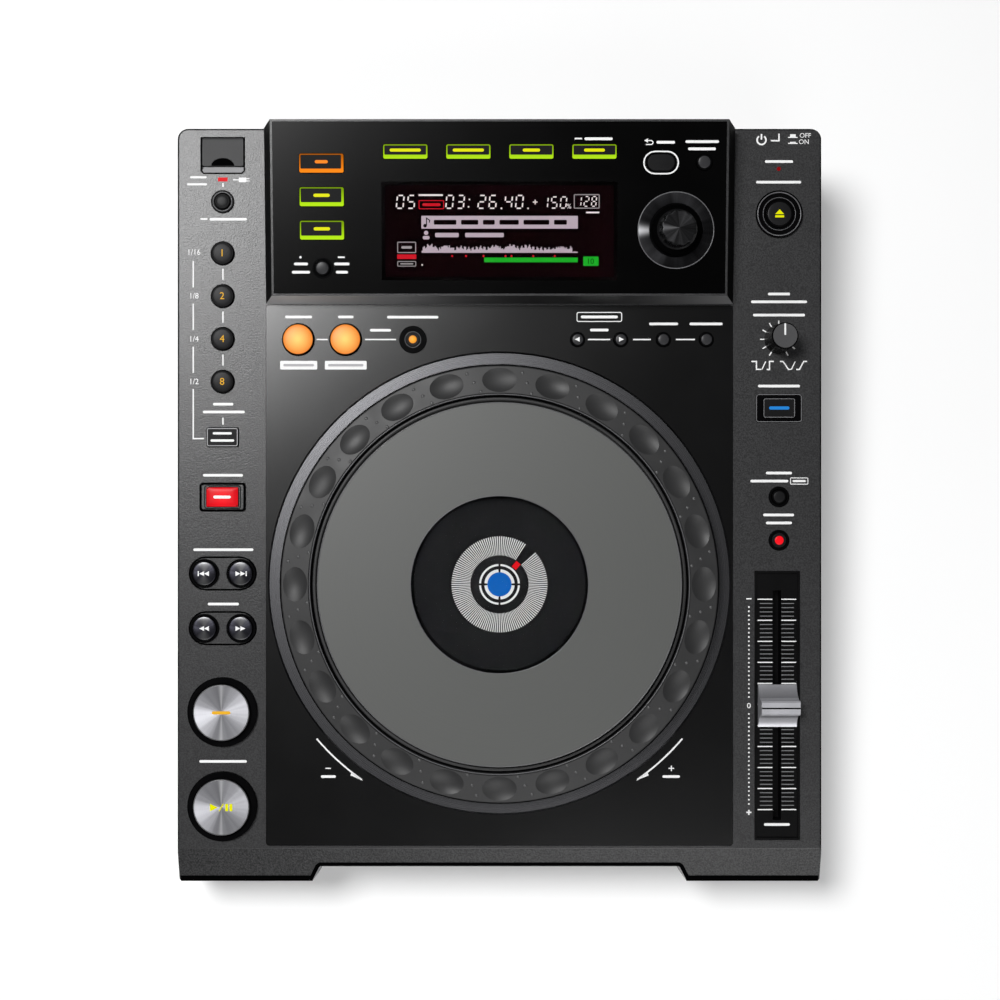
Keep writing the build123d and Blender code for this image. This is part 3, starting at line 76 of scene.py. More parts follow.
# The controls: those on the panel are placed from its own front edge.
LEFT_U, RIGHT_U, FADER_U = -131.4, 132.6, 131.9
PLAY_V, CUE_V, SEARCH_V, TRACK_V, REVERSE_V, BEAT_V, STICK_V = 20.2, 64.9, 104.5, 130.5, 166.8, 195.2, 307.0
FADER_V, MASTER_V, RANGE_V, JOG_MODE_V, EJECT_V = 67.8, 146.3, 166.9, 209.0, 301.0
FADER_FLOOR, FADER_TOP = -1.2, 11.0
SPEED_V, SPEED_TOP = 241.7, 18.0
SELECTOR_U, SELECTOR_V, SELECTOR_TOP = 81.9, 30.2, 16.5
PAIR_REACH, BIG_KEY_TOP, DOME = 8.6, 4.2, 0.3
KEY_ROW_V, LOOP_IN_U, LOOP_OUT_U, RELOOP_U = 241.53, -95.45, -73.05, -41.1
LOOP_KEYS = {"loop_1": 282.49, "loop_2": 262.19, "loop_4": 241.88, "loop_8": 221.58}
SOURCE_U, SOURCE_KEYS = -82.4, {"source_pc": 60.9, "source_usb": 45.55, "source_disc": 30.2}
MENU_V, MENU_KEYS = 66.2, {"browse": -43.55, "tag_list": -14.4, "info": 14.75, "menu": 43.9}

# The stage: places over the deck, and the lens in millimetres.
EYE, LENS = (0.24, 165.4, 780.0), 59.14
KEY_LAMP, FILL_LAMP, DECK_MIDDLE = (-567, 700, 1750), (250, -1000, 1400), 165


def round_keys():
    """Plane, place, radius and height of each small round key with a domed top."""
    keys = {name: (DECK, LEFT_U, v, 5.45, 1.6) for name, v in LOOP_KEYS.items()}
    for name, v in (("track", TRACK_V), ("search", SEARCH_V)):
        keys[name + "_back"] = (DECK, LEFT_U - PAIR_REACH, v, 5.7, 1.2)
        keys[name + "_forward"] = (DECK, LEFT_U + PAIR_REACH, v, 5.7, 1.2)
    for name, u in (("call_back", 37.05), ("call_forward", 57.55), ("delete", 77.75), ("memory", 98.15)):
        keys[name] = (DECK, u, KEY_ROW_V, 3.3, 1.4)
    keys["usb_stop"] = (DECK, LEFT_U, STICK_V, 3.65, 1.6)
    keys["eject"] = (DECK, RIGHT_U, EJECT_V, 6.4, 2.2)
    keys["tempo_range"] = (DECK, RIGHT_U, RANGE_V, 3.45, 1.4)
    keys["time_mode"] = (PANEL, SOURCE_U, 12.8, 3.65, 1.6)
    keys["tag_track"] = (PANEL, 94.75, 61.4, 3.6, 1.4)
    return keys


def key_faces():
    """A matrix on the middle of the face of each key that has marks."""
    faces = {name: at(plane, u, v, top + DOME) for name, (plane, u, v, _, top) in round_keys().items()}
    big_face = BIG_KEY_TOP + 0.25
    for name, u, v, top in (("cue", LEFT_U, CUE_V, big_face), ("play", LEFT_U, PLAY_V, big_face),
                            ("beat_select", LEFT_U, BEAT_V, 1.2), ("reverse", LEFT_U, REVERSE_V, 1.82),
                            ("jog_mode", RIGHT_U, JOG_MODE_V, 1.4)):
        faces[name] = at(DECK, u, v, top)
    faces.update((name, at(PANEL, SOURCE_U, v, 1.2)) for name, v in SOURCE_KEYS.items())
    faces.update((name, at(PANEL, u, MENU_V, 1.2)) for name, u in MENU_KEYS.items())
    return faces


def at(plane, u, v, h=0.0):
    """A matrix at a place on one of the player's planes, given in millimetres."""
    return plane @ Matrix.Translation((u * MM, v * MM, h * MM))


# ---------------------------------------------------------------- pieces
def add_object(name, data):
    made = bpy.data.objects.new(name, data)
    bpy.context.scene.collection.objects.link(made)
    return made


def add_piece(name, points, faces, finish, body, place, smooth=False):
    """A mesh piece from points in millimetres round a place."""
    mesh = bpy.data.meshes.new(name)
    mesh.from_pydata([Vector(p) * MM for p in points], [], faces)
    mesh.update()
    if smooth:
        mesh.polygons.foreach_set("use_smooth", [True] * len(mesh.polygons))
    mesh.materials.append(finish_named(finish))
    piece = add_object(name, mesh)
    piece.matrix_world = place
    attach(piece, body)
    return piece


def print_marks(name, shapes, place, body, finish, lift=INK):
    """Flat printed shapes, each a closed line of (u, v) points, a hair above the surface."""
    points, faces = [], []
    for shape in shapes:
        if area(shape) < 0:
            shape = shape[::-1]
        faces.append(tuple(range(len(points), len(points) + len(shape))))
        points += [(u, v, lift) for u, v in shape]
    add_piece(name, points, faces, finish, body, place)


def area(shape):
    """Above zero for a line of points that runs anticlockwise."""
    return sum(a[0] * b[1] - b[0] * a[1] for a, b in zip(shape, shape[1:] + shape[:1])) / 2


def turn_piece(name, section, finish, body, place, steps, wave=None):
    """A piece turned about its upright axis from (radius, height) points."""
    points, faces = [], []
    for i in range(steps):
        angle = 2 * math.pi * i / steps
        for radius, height in section:
            if wave:
                radius += wave(angle, radius)
            points.append((radius * math.cos(angle), radius * math.sin(angle), height))
    n = len(section)
    for i in range(steps):
        j = (i + 1) % steps
        for k in range(n - 1):
            faces.append((i * n + k, j * n + k, j * n + k + 1, i * n + k + 1))
    piece = add_piece(name, points, faces, finish, body, place, smooth=True)
    clean = bmesh.new()
    clean.from_mesh(piece.data)
    bmesh.ops.remove_doubles(clean, verts=clean.verts, dist=1e-6)
    bmesh.ops.recalc_face_normals(clean, faces=clean.faces)
    clean.to_mesh(piece.data)
    clean.free()


# ---------------------------------------------------------------- flat shapes
def arc_points(u, v, radius, start, end, steps):
    """Points along an arc, from one angle to another in degrees."""
    return [(u + radius * math.cos(math.radians(start + (end - start) * i / steps)),
             v + radius * math.sin(math.radians(start + (end - start) * i / steps)))
            for i in range(steps + 1)]


def pill_line(u, v, width, length, corner):
    """The outline of a rounded rectangle."""
    corner = min(corner, width / 2 - 1e-4, length / 2 - 1e-4)
    cu, cv = width / 2 - corner, length / 2 - corner
    line = []
    for su, sv, start in ((1, 1, 0), (-1, 1, 90), (-1, -1, 180), (1, -1, 270)):
        line += arc_points(u + su * cu, v + sv * cv, corner, start, start + 90, 5)
    return line


def bar(u, v, width, length=1.25, corner=9.0):
    return [pill_line(u, v, width, length, corner)]


def bars(length, rows):
    """Label bars of one length along v, each with its place and its width."""
    return [pill_line(u, v, width, length, 9.0) for u, v, width in rows]


def plus(u, v, size, thick):
    return bar(u, v, size, thick, 0.1) + bar(u, v, thick, size, 0.1)


def spot(u, v, radius, steps=28):
    return [arc_points(u, v, radius, 0, 360, steps)[:-1]]


def stroke(line, thick, closed=False):
    """A line of even thickness with mitred corners, the sharp ones cut short."""
    pts = [Vector(p) for p in line]
    left, right = [], []
    count = len(pts)
    for i, p in enumerate(pts):
        before = pts[i - 1] if i or closed else None
        after = pts[(i + 1) % count] if i < count - 1 or closed else None
        d0 = (p - before).normalized() if before is not None else None
        d1 = (after - p).normalized() if after is not None else None
        d0, d1 = d0 or d1, d1 or d0
        n0, n1 = Vector((-d0.y, d0.x)), Vector((-d1.y, d1.x))
        side = n0 + n1
        side = side / max(side.dot(n0), 0.3) if side.length > 1e-6 else n0
        left.append(p + side * thick / 2)
        right.append(p - side * thick / 2)
    last = count if closed else count - 1
    return [[tuple(left[i]), tuple(right[i]), tuple(right[(i + 1) % count]), tuple(left[(i + 1) % count])]
            for i in range(last)]


def ring(u, v, radius, thick, start=0.0, end=360.0, steps=64):
    line = arc_points(u, v, radius, start, end, steps)
    return stroke(line[:-1], thick, closed=True) if end - start >= 360 else stroke(line, thick)


def box_line(u, v, width, length, thick, corner=0.6):
    return stroke(pill_line(u, v, width - thick, length - thick, corner), thick, closed=True)


def arrow(u, v, size, way=1):
    """A solid triangle that points left or right."""
    return [[(u - way * size * 0.5, v + size * 0.5), (u - way * size * 0.5, v - size * 0.5),
             (u + way * size * 0.5, v)]]


def text_shapes(text, u, v, height, squeeze=1.0):
    """Figures and signs of the built-in font, centred on a place, with a given height."""
    curve = bpy.data.curves.new("figures", "FONT")
    curve.body = text
    curve.resolution_u = 4
    holder = bpy.data.objects.new("figures", curve)
    mesh = bpy.data.meshes.new_from_object(holder)
    xs = [p.co.x for p in mesh.vertices]
    ys = [p.co.y for p in mesh.vertices]
    scale = height / (max(ys) - min(ys))
    mid_x, mid_y = (max(xs) + min(xs)) / 2, (max(ys) + min(ys)) / 2
    shapes = []
    for face in mesh.polygons:
        shape = []
        for i in face.vertices:
            x, y = mesh.vertices[i].co.x - mid_x, mesh.vertices[i].co.y - mid_y
            shape.append((u + x * squeeze * scale, v + y * scale))
        shapes.append(shape)
    bpy.data.objects.remove(holder)
    bpy.data.curves.remove(curve)
    bpy.data.meshes.remove(mesh)
    return shapes


SEGMENTS = {"0": "abcdef", "1": "bc", "2": "abged", "3": "abgcd", "4": "fgbc", "5": "afgcd",
            "6": "afgedc", "7": "abc", "8": "abcdefg", "9": "abcdfg"}


def lit_figure(digit, u, v, width, length, thick):
    """A seven-segment figure that leans a little."""
    lean = 0.1
    hu, hv, gap = width / 2, length / 2, thick * 0.35
    lines = {"a": ((-hu, hv), (hu, hv)), "g": ((-hu, 0), (hu, 0)), "d": ((-hu, -hv), (hu, -hv)),
             "f": ((-hu, hv), (-hu, 0)), "b": ((hu, hv), (hu, 0)),
             "e": ((-hu, 0), (-hu, -hv)), "c": ((hu, 0), (hu, -hv))}
    shapes = []
    for name in SEGMENTS[digit]:
        a, b = (Vector(p) for p in lines[name])
        along = (b - a).normalized()
        a, b = a + along * (gap + thick / 2), b - along * (gap + thick / 2)
        shape = stroke([a, b], thick)[0]
        shapes.append([(u + x + lean * y, v + y) for x, y in shape])
    return shapes


def lit_row(digits, u, v, pitch, width, length, thick):
    shapes = []
    for i, digit in enumerate(digits):
        shapes += lit_figure(digit, u + i * pitch, v, width, length, thick)
    return shapes


# ---------------------------------------------------------------- finishes
class Finish:
    """A material, and the helpers that wire grain, grooves and light into its shader."""

    made = {}

    def __init__(self, name, colour, rough, metal=0.0, gloss=0.5):
        self.material = bpy.data.materials.new(name)
        self.material.use_nodes = True
        self.material.diffuse_color = (*colour, 1.0)
        self.tree = self.material.node_tree
        self.shader = self.tree.nodes["Principled BSDF"]
        self.colour = colour
        self.rough = rough
        self.feed(self.shader, {"Base Color": (*colour, 1.0), "Roughness": rough, "Metallic": metal,
                                "Specular IOR Level": gloss})
        Finish.made[name] = self.material

    def feed(self, node, inputs):
        """Sets a node's inputs, each from a value or from another node's socket."""
        for key, value in inputs.items():
            if isinstance(value, bpy.types.NodeSocket):
                self.tree.links.new(value, node.inputs[key])
            else:
                node.inputs[key].default_value = value

    def node(self, kind, inputs=None, **settings):
        made = self.tree.nodes.new("ShaderNode" + kind)
        for key, value in settings.items():
            setattr(made, key, value)
        self.feed(made, inputs or {})
        return made

    def math(self, operation, a, b=0.0):
        return self.node("Math", {0: a, 1: b}, operation=operation).outputs[0]

    def weigh(self, a, share_a, b, share_b):
        return self.math("ADD", self.math("MULTIPLY", a, share_a), self.math("MULTIPLY", b, share_b))

    def ramp(self, value, low, high, start=0.0, end=1.0):
        """A value carried from one range to another, and clamped to it."""
        return self.node("MapRange", {"Value": value, "From Min": low, "From Max": high,
                                      "To Min": start, "To Max": end}).outputs[0]

    def blend(self, factor, first, second):
        """A mix of two colours, of which the first may be another node's socket."""
        if not isinstance(first, bpy.types.NodeSocket):
            first = (*first, 1.0)
        return self.node("Mix", {"Factor": factor, 6: first, 7: (*second, 1.0)}, data_type="RGBA").outputs[2]

    def place(self, matrix=None, spread=(1, 1, 1)):
        """Object coordinates, moved and turned to a plane of the player."""
        source = self.node("TexCoord").outputs["Object"]
        moved = self.node("Mapping", {"Vector": source, "Scale": spread}, vector_type="TEXTURE")
        if matrix is not None:
            self.feed(moved, {"Location": matrix.translation, "Rotation": matrix.to_euler()})
        return moved.outputs["Vector"]

    def axes(self, place):
        split = self.node("SeparateXYZ", {"Vector": place})
        return split.outputs["X"], split.outputs["Y"]

    def polar(self, place):
        """X, Y and the distance from the Z axis."""
        x, y = self.axes(place)
        return x, y, self.math("SQRT", self.weigh(x, x, y, y))

    def noise(self, size, detail=2.0):
        return self.node("TexNoise", {"Vector": self.place(), "Scale": 1 / (size * MM), "Detail": detail,
                                      "Roughness": 0.55}).outputs["Fac"]

    def vary_colour(self, factor, spread, low=0.35, high=0.65):
        """Base colour that wanders darker and lighter by a share."""
        mixed = self.blend(self.ramp(factor, low, high), shade(self.colour, 1 - spread),
                           [min(1.0, c) for c in shade(self.colour, 1 + spread)])
        self.feed(self.shader, {"Base Color": mixed})
        return mixed

    def vary_rough(self, factor, spread):
        level = self.ramp(factor, 0.3, 0.7, max(0.0, self.rough - spread), min(1.0, self.rough + spread))
        self.feed(self.shader, {"Roughness": level})

    def bump(self, height, depth):
        """Relief of a given depth in millimetres."""
        relief = self.node("Bump", {"Height": height, "Distance": depth * MM, "Strength": 1.0})
        self.feed(self.shader, {"Normal": relief.outputs["Normal"]})

    def grained(self, size, depth, spread, rough_spread=0.05, cloud=14.0, share=0.4):
        """Moulded or painted grain with slow cloudiness in its colour and gloss."""
        fine = self.noise(size)
        slow = self.noise(cloud, detail=3.0)
        self.vary_colour(self.weigh(fine, 1 - share, slow, share), spread, 0.4, 0.6)
        self.vary_rough(slow, rough_spread)
        self.bump(fine, depth)

    def spun(self, centre, pitch, depth, spread, rough_spread):
        """Fine circular tool marks round an axis."""
        x, y, radius = self.polar(self.place(centre))
        grooves = self.node("TexNoise", {"W": self.math("MULTIPLY", radius, 1 / (pitch * MM)), "Scale": 1.0,
                                         "Detail": 2.0}, noise_dimensions="1D").outputs["Fac"]
        self.vary_colour(grooves, spread)
        self.vary_rough(grooves, rough_spread)
        self.bump(grooves, depth)
        return x, y, grooves

    def lit(self, colour, strength):
        """Light of a colour and a strength, each a value or another node's socket."""
        self.feed(self.shader, {"Emission Color": colour, "Emission Strength": strength})


def shade(colour, share):
    return [c * share for c in colour]


def finish_named(name):
    if name not in Finish.made:
        raise RuntimeError(f"the finish {name} has to be mixed before the pieces that use it")
    return Finish.made[name]


def set_finish(nodes, *finishes):
    """Gives CAD nodes their finishes, with the first one on every face."""
    for name in nodes:
        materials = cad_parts[name].data.materials
        materials.clear()
        for finish in finishes:
            materials.append(finish_named(finish))


def set_zones(name, plane, first, zones):
    """Gives the faces of one CAD node their finishes: the first zone that claims a face's middle."""
    set_finish([name], first, *(finish for finish, _ in zones))
    back = plane.inverted()
    turn = back.to_3x3()
    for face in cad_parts[name].data.polygons:
        middle = back @ face.center / MM
        normal = turn @ face.normal
        face.material_index = 0
        for i, (_, claims) in enumerate(zones):
            if claims(middle, normal):
                face.material_index = i + 1
                break


# ---------------------------------------------------------------- settings
def colour_setting(name, description, value):
    return bpy.props.FloatVectorProperty(name=name, description=description, subtype="COLOR", size=3,
                                         min=0.0, max=1.0, default=value)


def size_setting(name, description, value):
    return bpy.props.FloatProperty(name=name, description=description, subtype="DISTANCE", unit="LENGTH",
                                   min=0.0, precision=5, default=value * MM)


class DISCPLAYER_PG_colours(bpy.types.PropertyGroup):
    """Colours of the player's finishes"""

    wing: colour_setting("Wings", "Grained plastic of the case", (0.0275, 0.0275, 0.0285))
    gloss: colour_setting("Panels", "Polished plastic of deck and display panel", (0.0012, 0.0012, 0.0013))
    dial: colour_setting("Dial", "Outer ring of the jog wheel", (0.022, 0.022, 0.0225))
    platter: colour_setting("Platter", "Touch plate of the jog wheel", (0.062, 0.064, 0.061))
    bezel: colour_setting("Bezel", "Metal ring round the jog wheel", (0.112, 0.112, 0.118))
    key: colour_setting("Keys", "Black push keys", (0.008, 0.008, 0.0085))
    silver: colour_setting("Silver", "Fader cap and big keys", (0.62, 0.62, 0.66))
    ink: colour_setting("Ink", "Printed markings", (0.75, 0.75, 0.75))
    amber: colour_setting("Amber", "Lit loop keys", (1.0, 0.46, 0.09))
    green: colour_setting("Lime", "Lit menu and source keys", (0.46, 0.80, 0.008))
    orange: colour_setting("Orange", "Lit key of the chosen source", (1.0, 0.25, 0.008))
    red: colour_setting("Red", "Lit reverse key and lamps", (0.78, 0.006, 0.012))
    blue: colour_setting("Blue", "Lit marks of the wheel", (0.002, 0.12, 0.5))


class DISCPLAYER_PG_sizes(bpy.types.PropertyGroup):
    """Sizes of the dressing"""

    wing_grain: size_setting("Wing grain", "Size of the grain on the wings", 0.7)
    wing_relief: size_setting("Wing relief", "Depth of the grain on the wings", 0.08)
    line: size_setting("Line", "Thickness of the printed lines", 0.62)
    label: size_setting("Label", "Thickness of the printed label bars", 1.25)
    tick: size_setting("Tick", "Thickness of the long ticks beside the fader", 0.5)
    tick_pitch: size_setting("Tick pitch", "Distance between the ticks beside the fader", 2.0)
    bump_radius: size_setting("Bump", "Radius of the small bumps on the dial", 0.85)
    stripe: size_setting("Stripe", "Width of a stripe on the round display", 0.42)


# ---------------------------------------------------------------- operators
class Maker:
    """What the operators share: they finish or raise."""

    bl_options = {"REGISTER", "UNDO"}

    def execute(self, context):
        self.make(context.scene.disc_player_colours, context.scene.disc_player_sizes)
        return {"FINISHED"}


class DISCPLAYER_OT_mix(Maker, bpy.types.Operator):
    """Mixes the finishes that the other steps put on"""

    bl_idname = "disc_player.mix"
    bl_label = "Mix finishes"

    def make(self, colours, sizes):
        wing, relief = sizes.wing_grain / MM, sizes.wing_relief / MM
        # Name, colour, roughness, metal and gloss, then the grain's size, depth, spreads, cloud and share.
        for name, colour, rough, metal, gloss, *grain in (
                ("grained_black", colours.wing, 0.28, 0, 0.32, wing, relief, 0.32, 0.004, 14.0, 0.06),
                # The front bevel: the wing's grain, coarser, in 0.8 of the wing's colour, which is painted
                # shade.
                ("grained_bevel", shade(colours.wing, 0.8), 0.32, 0, 0.28,
                 1.15 * wing, 1.3 * relief, 0.5, 0.004, 14.0, 0.06),
                ("polished_black", colours.gloss, 0.225, 0, 0.36, 30.0, 0.0002, 0.2, 0.01, 60.0),
                ("polished_panel", shade(colours.gloss, 0.5), 0.22, 0, 0.07, 30.0, 0.0002, 0.2, 0.01, 60.0),
                ("pan_steel", (0.02, 0.02, 0.021), 0.5, 0.2, 0.5, 0.5, 0.01, 0.15),
                ("dial_grey", colours.dial, 0.46, 0, 0.3, 0.3, 0.003, 0.1),
                # Painted highlight: the bumps are 2.2 times as light as the dial.
                ("bump_grey", shade(colours.dial, 2.2), 0.4, 0, 0.5, 0.3, 0.002, 0.1),
                ("key_black", colours.key, 0.4, 0, 0.07, 0.25, 0.003, 0.12),
                ("key_cap", shade(colours.key, 1.3), 0.34, 0, 0.07, 0.25, 0.002, 0.12),
                ("cap_grey", (0.028, 0.028, 0.030), 0.3, 0, 0.15, 0.25, 0.002, 0.12),
                ("rim_black", (0.002, 0.002, 0.0022), 0.25, 0, 0.015, 0.4, 0.002, 0.15),
                # Painted shade: near-black without gloss, for the lip, outlines, lines in gaps and the
                # selector's flange.
                ("shade_black", (0.0012, 0.0012, 0.0013), 0.6, 0, 0.0, 0.4, 0.002, 0.15),
                # Painted shade: near-black for the hump's side walls.
                ("side_black", (0.004, 0.004, 0.0042), 0.5, 0, 0.01, 0.5, 0.004, 0.15),
                ("rim_grey", (0.10, 0.10, 0.105), 0.3, 0, 0.4, 0.4, 0.002, 0.08),
                ("knob_black", (0.005, 0.005, 0.0055), 0.24, 0, 0.2, 0.4, 0.003, 0.12),
                ("knob_grey", (0.055, 0.055, 0.057), 0.4, 0, 0.3, 0.4, 0.003, 0.08),
                ("tray_black", (0.0012, 0.0012, 0.0014), 0.4, 0, 0.08, 0.4, 0.004, 0.15),
                ("lid_grey", (0.06, 0.06, 0.061), 0.55, 0, 0.12, 0.3, 0.002, 0.06),
                ("ink_white", colours.ink, 0.55, 0, 0.5, 0.5, 0.002, 0.05),
                # Grey ink for print, also used as painted light on the finger slope.
                ("ink_grey", (0.32, 0.32, 0.33), 0.55, 0, 0.5, 0.5, 0.002, 0.05),
                ("ink_dim", (0.13, 0.13, 0.135), 0.55, 0, 0.5, 0.5, 0.002, 0.05),
                ("phono_red", (0.5, 0.01, 0.012), 0.4, 0, 0.5, 0.5, 0.002, 0.05),
                ("satin_silver", shade(colours.silver, 0.72), 0.32, 0.35, 0.5, 0.35, 0.003, 0.05),
                # Painted shade: a darker copy of the satin silver.
                ("satin_dark", shade(colours.silver, 0.42), 0.32, 0.35, 0.5, 0.35, 0.003, 0.05),
                ("zinc", (0.55, 0.55, 0.56), 0.35, 1.0, 0.5, 6.0, 0.002, 0.12, 0.1),
                ("board_green", (0.012, 0.09, 0.035), 0.4, 0, 0.5, 1.2, 0.01, 0.25),
                ("chip_black", (0.015, 0.015, 0.016), 0.5, 0, 0.5, 0.3, 0.005, 0.15),
                ("rubber", (0.013, 0.013, 0.013), 0.75, 0, 0.5, 0.5, 0.02, 0.2),
                ("nickel", (0.6, 0.58, 0.55), 0.25, 1.0, 0.5, 1.5, 0.003, 0.08),
                ("screen_dark", (0.0040, 0.0012, 0.0018), 0.4, 0, 0.0, 0.3, 0.001, 0.15),
                ("screen_black", (0.010, 0.010, 0.0105), 0.4, 0, 0.03, 0.3, 0.001, 0.1)):
            Finish(name, colour, rough, metal, gloss).grained(*grain)
        for name, colour in (("window_clear", (0.92, 0.86, 0.87)), ("wheel_window", (0.88, 0.89, 0.9))):
            glass = Finish(name, colour, 0.02)
            glass.feed(glass.shader, {"Transmission Weight": 1.0, "IOR": 1.1})
            glass.vary_colour(glass.noise(40.0), 0.02)
        Finish("platter_grey", colours.platter, 0.43).spun(WHEEL, 0.5, 0.002, 0.03, 0.03)
        Finish("satin_ring", colours.bezel, 0.26, 1.0).spun(WHEEL, 0.25, 0.0012, 0.05, 0.03)
        self.mix_painted_sheen_wall()
        self.mix_lit(colours)
        # Name, colour, swing of the painted reflections, gloss, and the way, sharpness and brightness of the
        # painted highlight ray.
        for row in (("spun_silver", shade(colours.silver, 0.56), 0.2, 0.5, (0.0, 1.0), 300.0, 0.62),
                    ("spun_painted_rays_black", (0.018, 0.018, 0.019), 0.7, 0.1, (-1.0, 0.0), 60.0, 0.16),
                    ("spun_painted_rays_dish", (0.012, 0.012, 0.013), 0.6, 0.1, (-1.0, 0.0), 130.0, 0.5),
                    ("spun_painted_rays_key", (0.016, 0.016, 0.021), 0.6, 0.15, (0.0, 1.0), 7.0, 0.10)):
            self.mix_painted_ray_spun(*row)

    def mix_painted_sheen_wall(self):
        """The hump's front wall, a satin black with a painted reflection that clears it to grey at both ends.
        """
        wall = Finish("wall_black", (0.03, 0.03, 0.031), 0.4, gloss=0.2)
        wall.grained(0.5, 0.004, 0.1)
        # Painted sheen: the colour is darkest 30 mm right of the middle and lightens to grey towards both
        # ends.
        across = wall.axes(wall.place())[0]
        offset = wall.math("ABSOLUTE", wall.math("SUBTRACT", across, 30 * MM))
        level = wall.math("POWER", wall.ramp(offset, 10 * MM, 130 * MM), 1.9)
        mixed = wall.blend(level, (0.009, 0.009, 0.0095), (0.55, 0.55, 0.555))
        wall.feed(wall.shader, {"Base Color": mixed})

    def mix_lit(self, colours):
        """Lit marks and screens, the lit borders of keys, and lit lenses."""
        for name, colour, strength in (
                ("lit_orange", colours.orange, 0.95), ("lit_yellow", (0.85, 0.85, 0.0), 0.9),
                ("lit_amber_mark", (0.95, 0.50, 0.03), 0.85), ("lit_red", colours.red, 0.95),
                ("lamp_red", (0.42, 0.004, 0.006), 0.5), ("lit_blue", colours.blue, 0.95),
                ("lit_white", (0.86, 0.86, 0.84), 0.95), ("lit_grey", (0.36, 0.36, 0.36), 0.9),
                ("lit_lilac", (0.50, 0.44, 0.50), 0.95), ("lit_screen_red", (0.66, 0.008, 0.02), 0.9),
                ("lit_screen_green", (0.01, 0.46, 0.02), 0.95), ("lit_band", (0.075, 0.075, 0.075), 0.9),
                ("lit_figure_blue", (0.02, 0.24, 0.70), 0.9)):
            self.mix_dark(name, colour).lit((*colour, 1.0), strength)
        for name, colour in (("edge_green", colours.green), ("edge_orange", colours.orange)):
            border, reach = self.mix_dark(name, colour), 3.6 * MM
            along = border.axes(border.place())[1]
            border.lit((*colour, 1.0), border.ramp(along, -reach, reach, 1.0, 0.38))
        amber, red = shade(colours.amber, 0.2), shade(colours.red, 0.3)
        # Name, colour, roughness and gloss, then the glow's reach, middle, rim and strength.
        for name, colour, rough, gloss, reach, middle, rim, strength in (
                ("amber_lens", amber, 0.35, 0.12, 7.0, (1.0, 0.64, 0.15), (0.76, 0.17, 0.02), 0.88),
                ("amber_spot", amber, 0.35, 0.12, 1.9, (1.0, 0.46, 0.02), (0.75, 0.22, 0.005), 0.86),
                ("red_lens", red, 0.3, 0.1, 9.0, (0.80, 0.006, 0.014), (0.36, 0.002, 0.006), 0.9)):
            lens = Finish(name, colour, rough, gloss=gloss)
            lens.grained(0.5, 0.002, 0.06)
            radius = lens.polar(lens.place(spread=(reach * MM, reach * MM, 1.0)))[2]
            lens.lit(lens.blend(lens.ramp(radius, 0.1, 1.0), middle, rim), strength)

    def mix_dark(self, name, colour):
        """The dark and slightly uneven body of a lit area."""
        finish = Finish(name, shade(colour, 0.05), 0.4, gloss=0.05)
        finish.grained(0.8, 0.002, 0.12)
        return finish

    def mix_painted_ray_spun(self, name, colour, swing, gloss, way, sharp, bright):
        """Spun metal with painted reflections: colour that swings lighter and darker round the axis, and one
        painted highlight ray that is sharp and bright.
        """
        spun = Finish(name, colour, 0.34, 0.8, gloss)
        x, y, grooves = spun.spun(Matrix.Identity(4), 0.22, 0.003, 0.05, 0.05)
        turn = spun.math("ARCTAN2", y, x)
        across, along = spun.math("COSINE", turn), spun.math("SINE", turn)
        wheel = spun.node("CombineXYZ", {0: across, 1: along}).outputs[0]
        # Painted reflections: the base colour swings with a noise on the angle round the axis, and a little
        # with the tool marks.
        wave = spun.node("TexNoise", {"Vector": wheel, "Scale": 2.3, "Detail": 3.0,
                                      "Roughness": 0.5}).outputs["Fac"]
        base = spun.vary_colour(spun.weigh(wave, 0.85, grooves, 0.15), swing, 0.36, 0.62)
        # Painted highlight: a ray of lighter colour in one way, or both ways along it.
        painted_ray_facing = spun.weigh(across, way[0], along, way[1])
        painted_ray_facing = spun.math("ABSOLUTE", painted_ray_facing) if way[1] else spun.math("MAXIMUM", painted_ray_facing, 0.0)
        ray = spun.blend(spun.math("POWER", painted_ray_facing, sharp), base, (bright, bright, bright * 1.03))
        tangent = spun.node("Tangent", direction_type="RADIAL", axis="Z").outputs[0]
        spun.feed(spun.shader, {"Base Color": ray, "Tangent": tangent, "Anisotropic": 0.6})


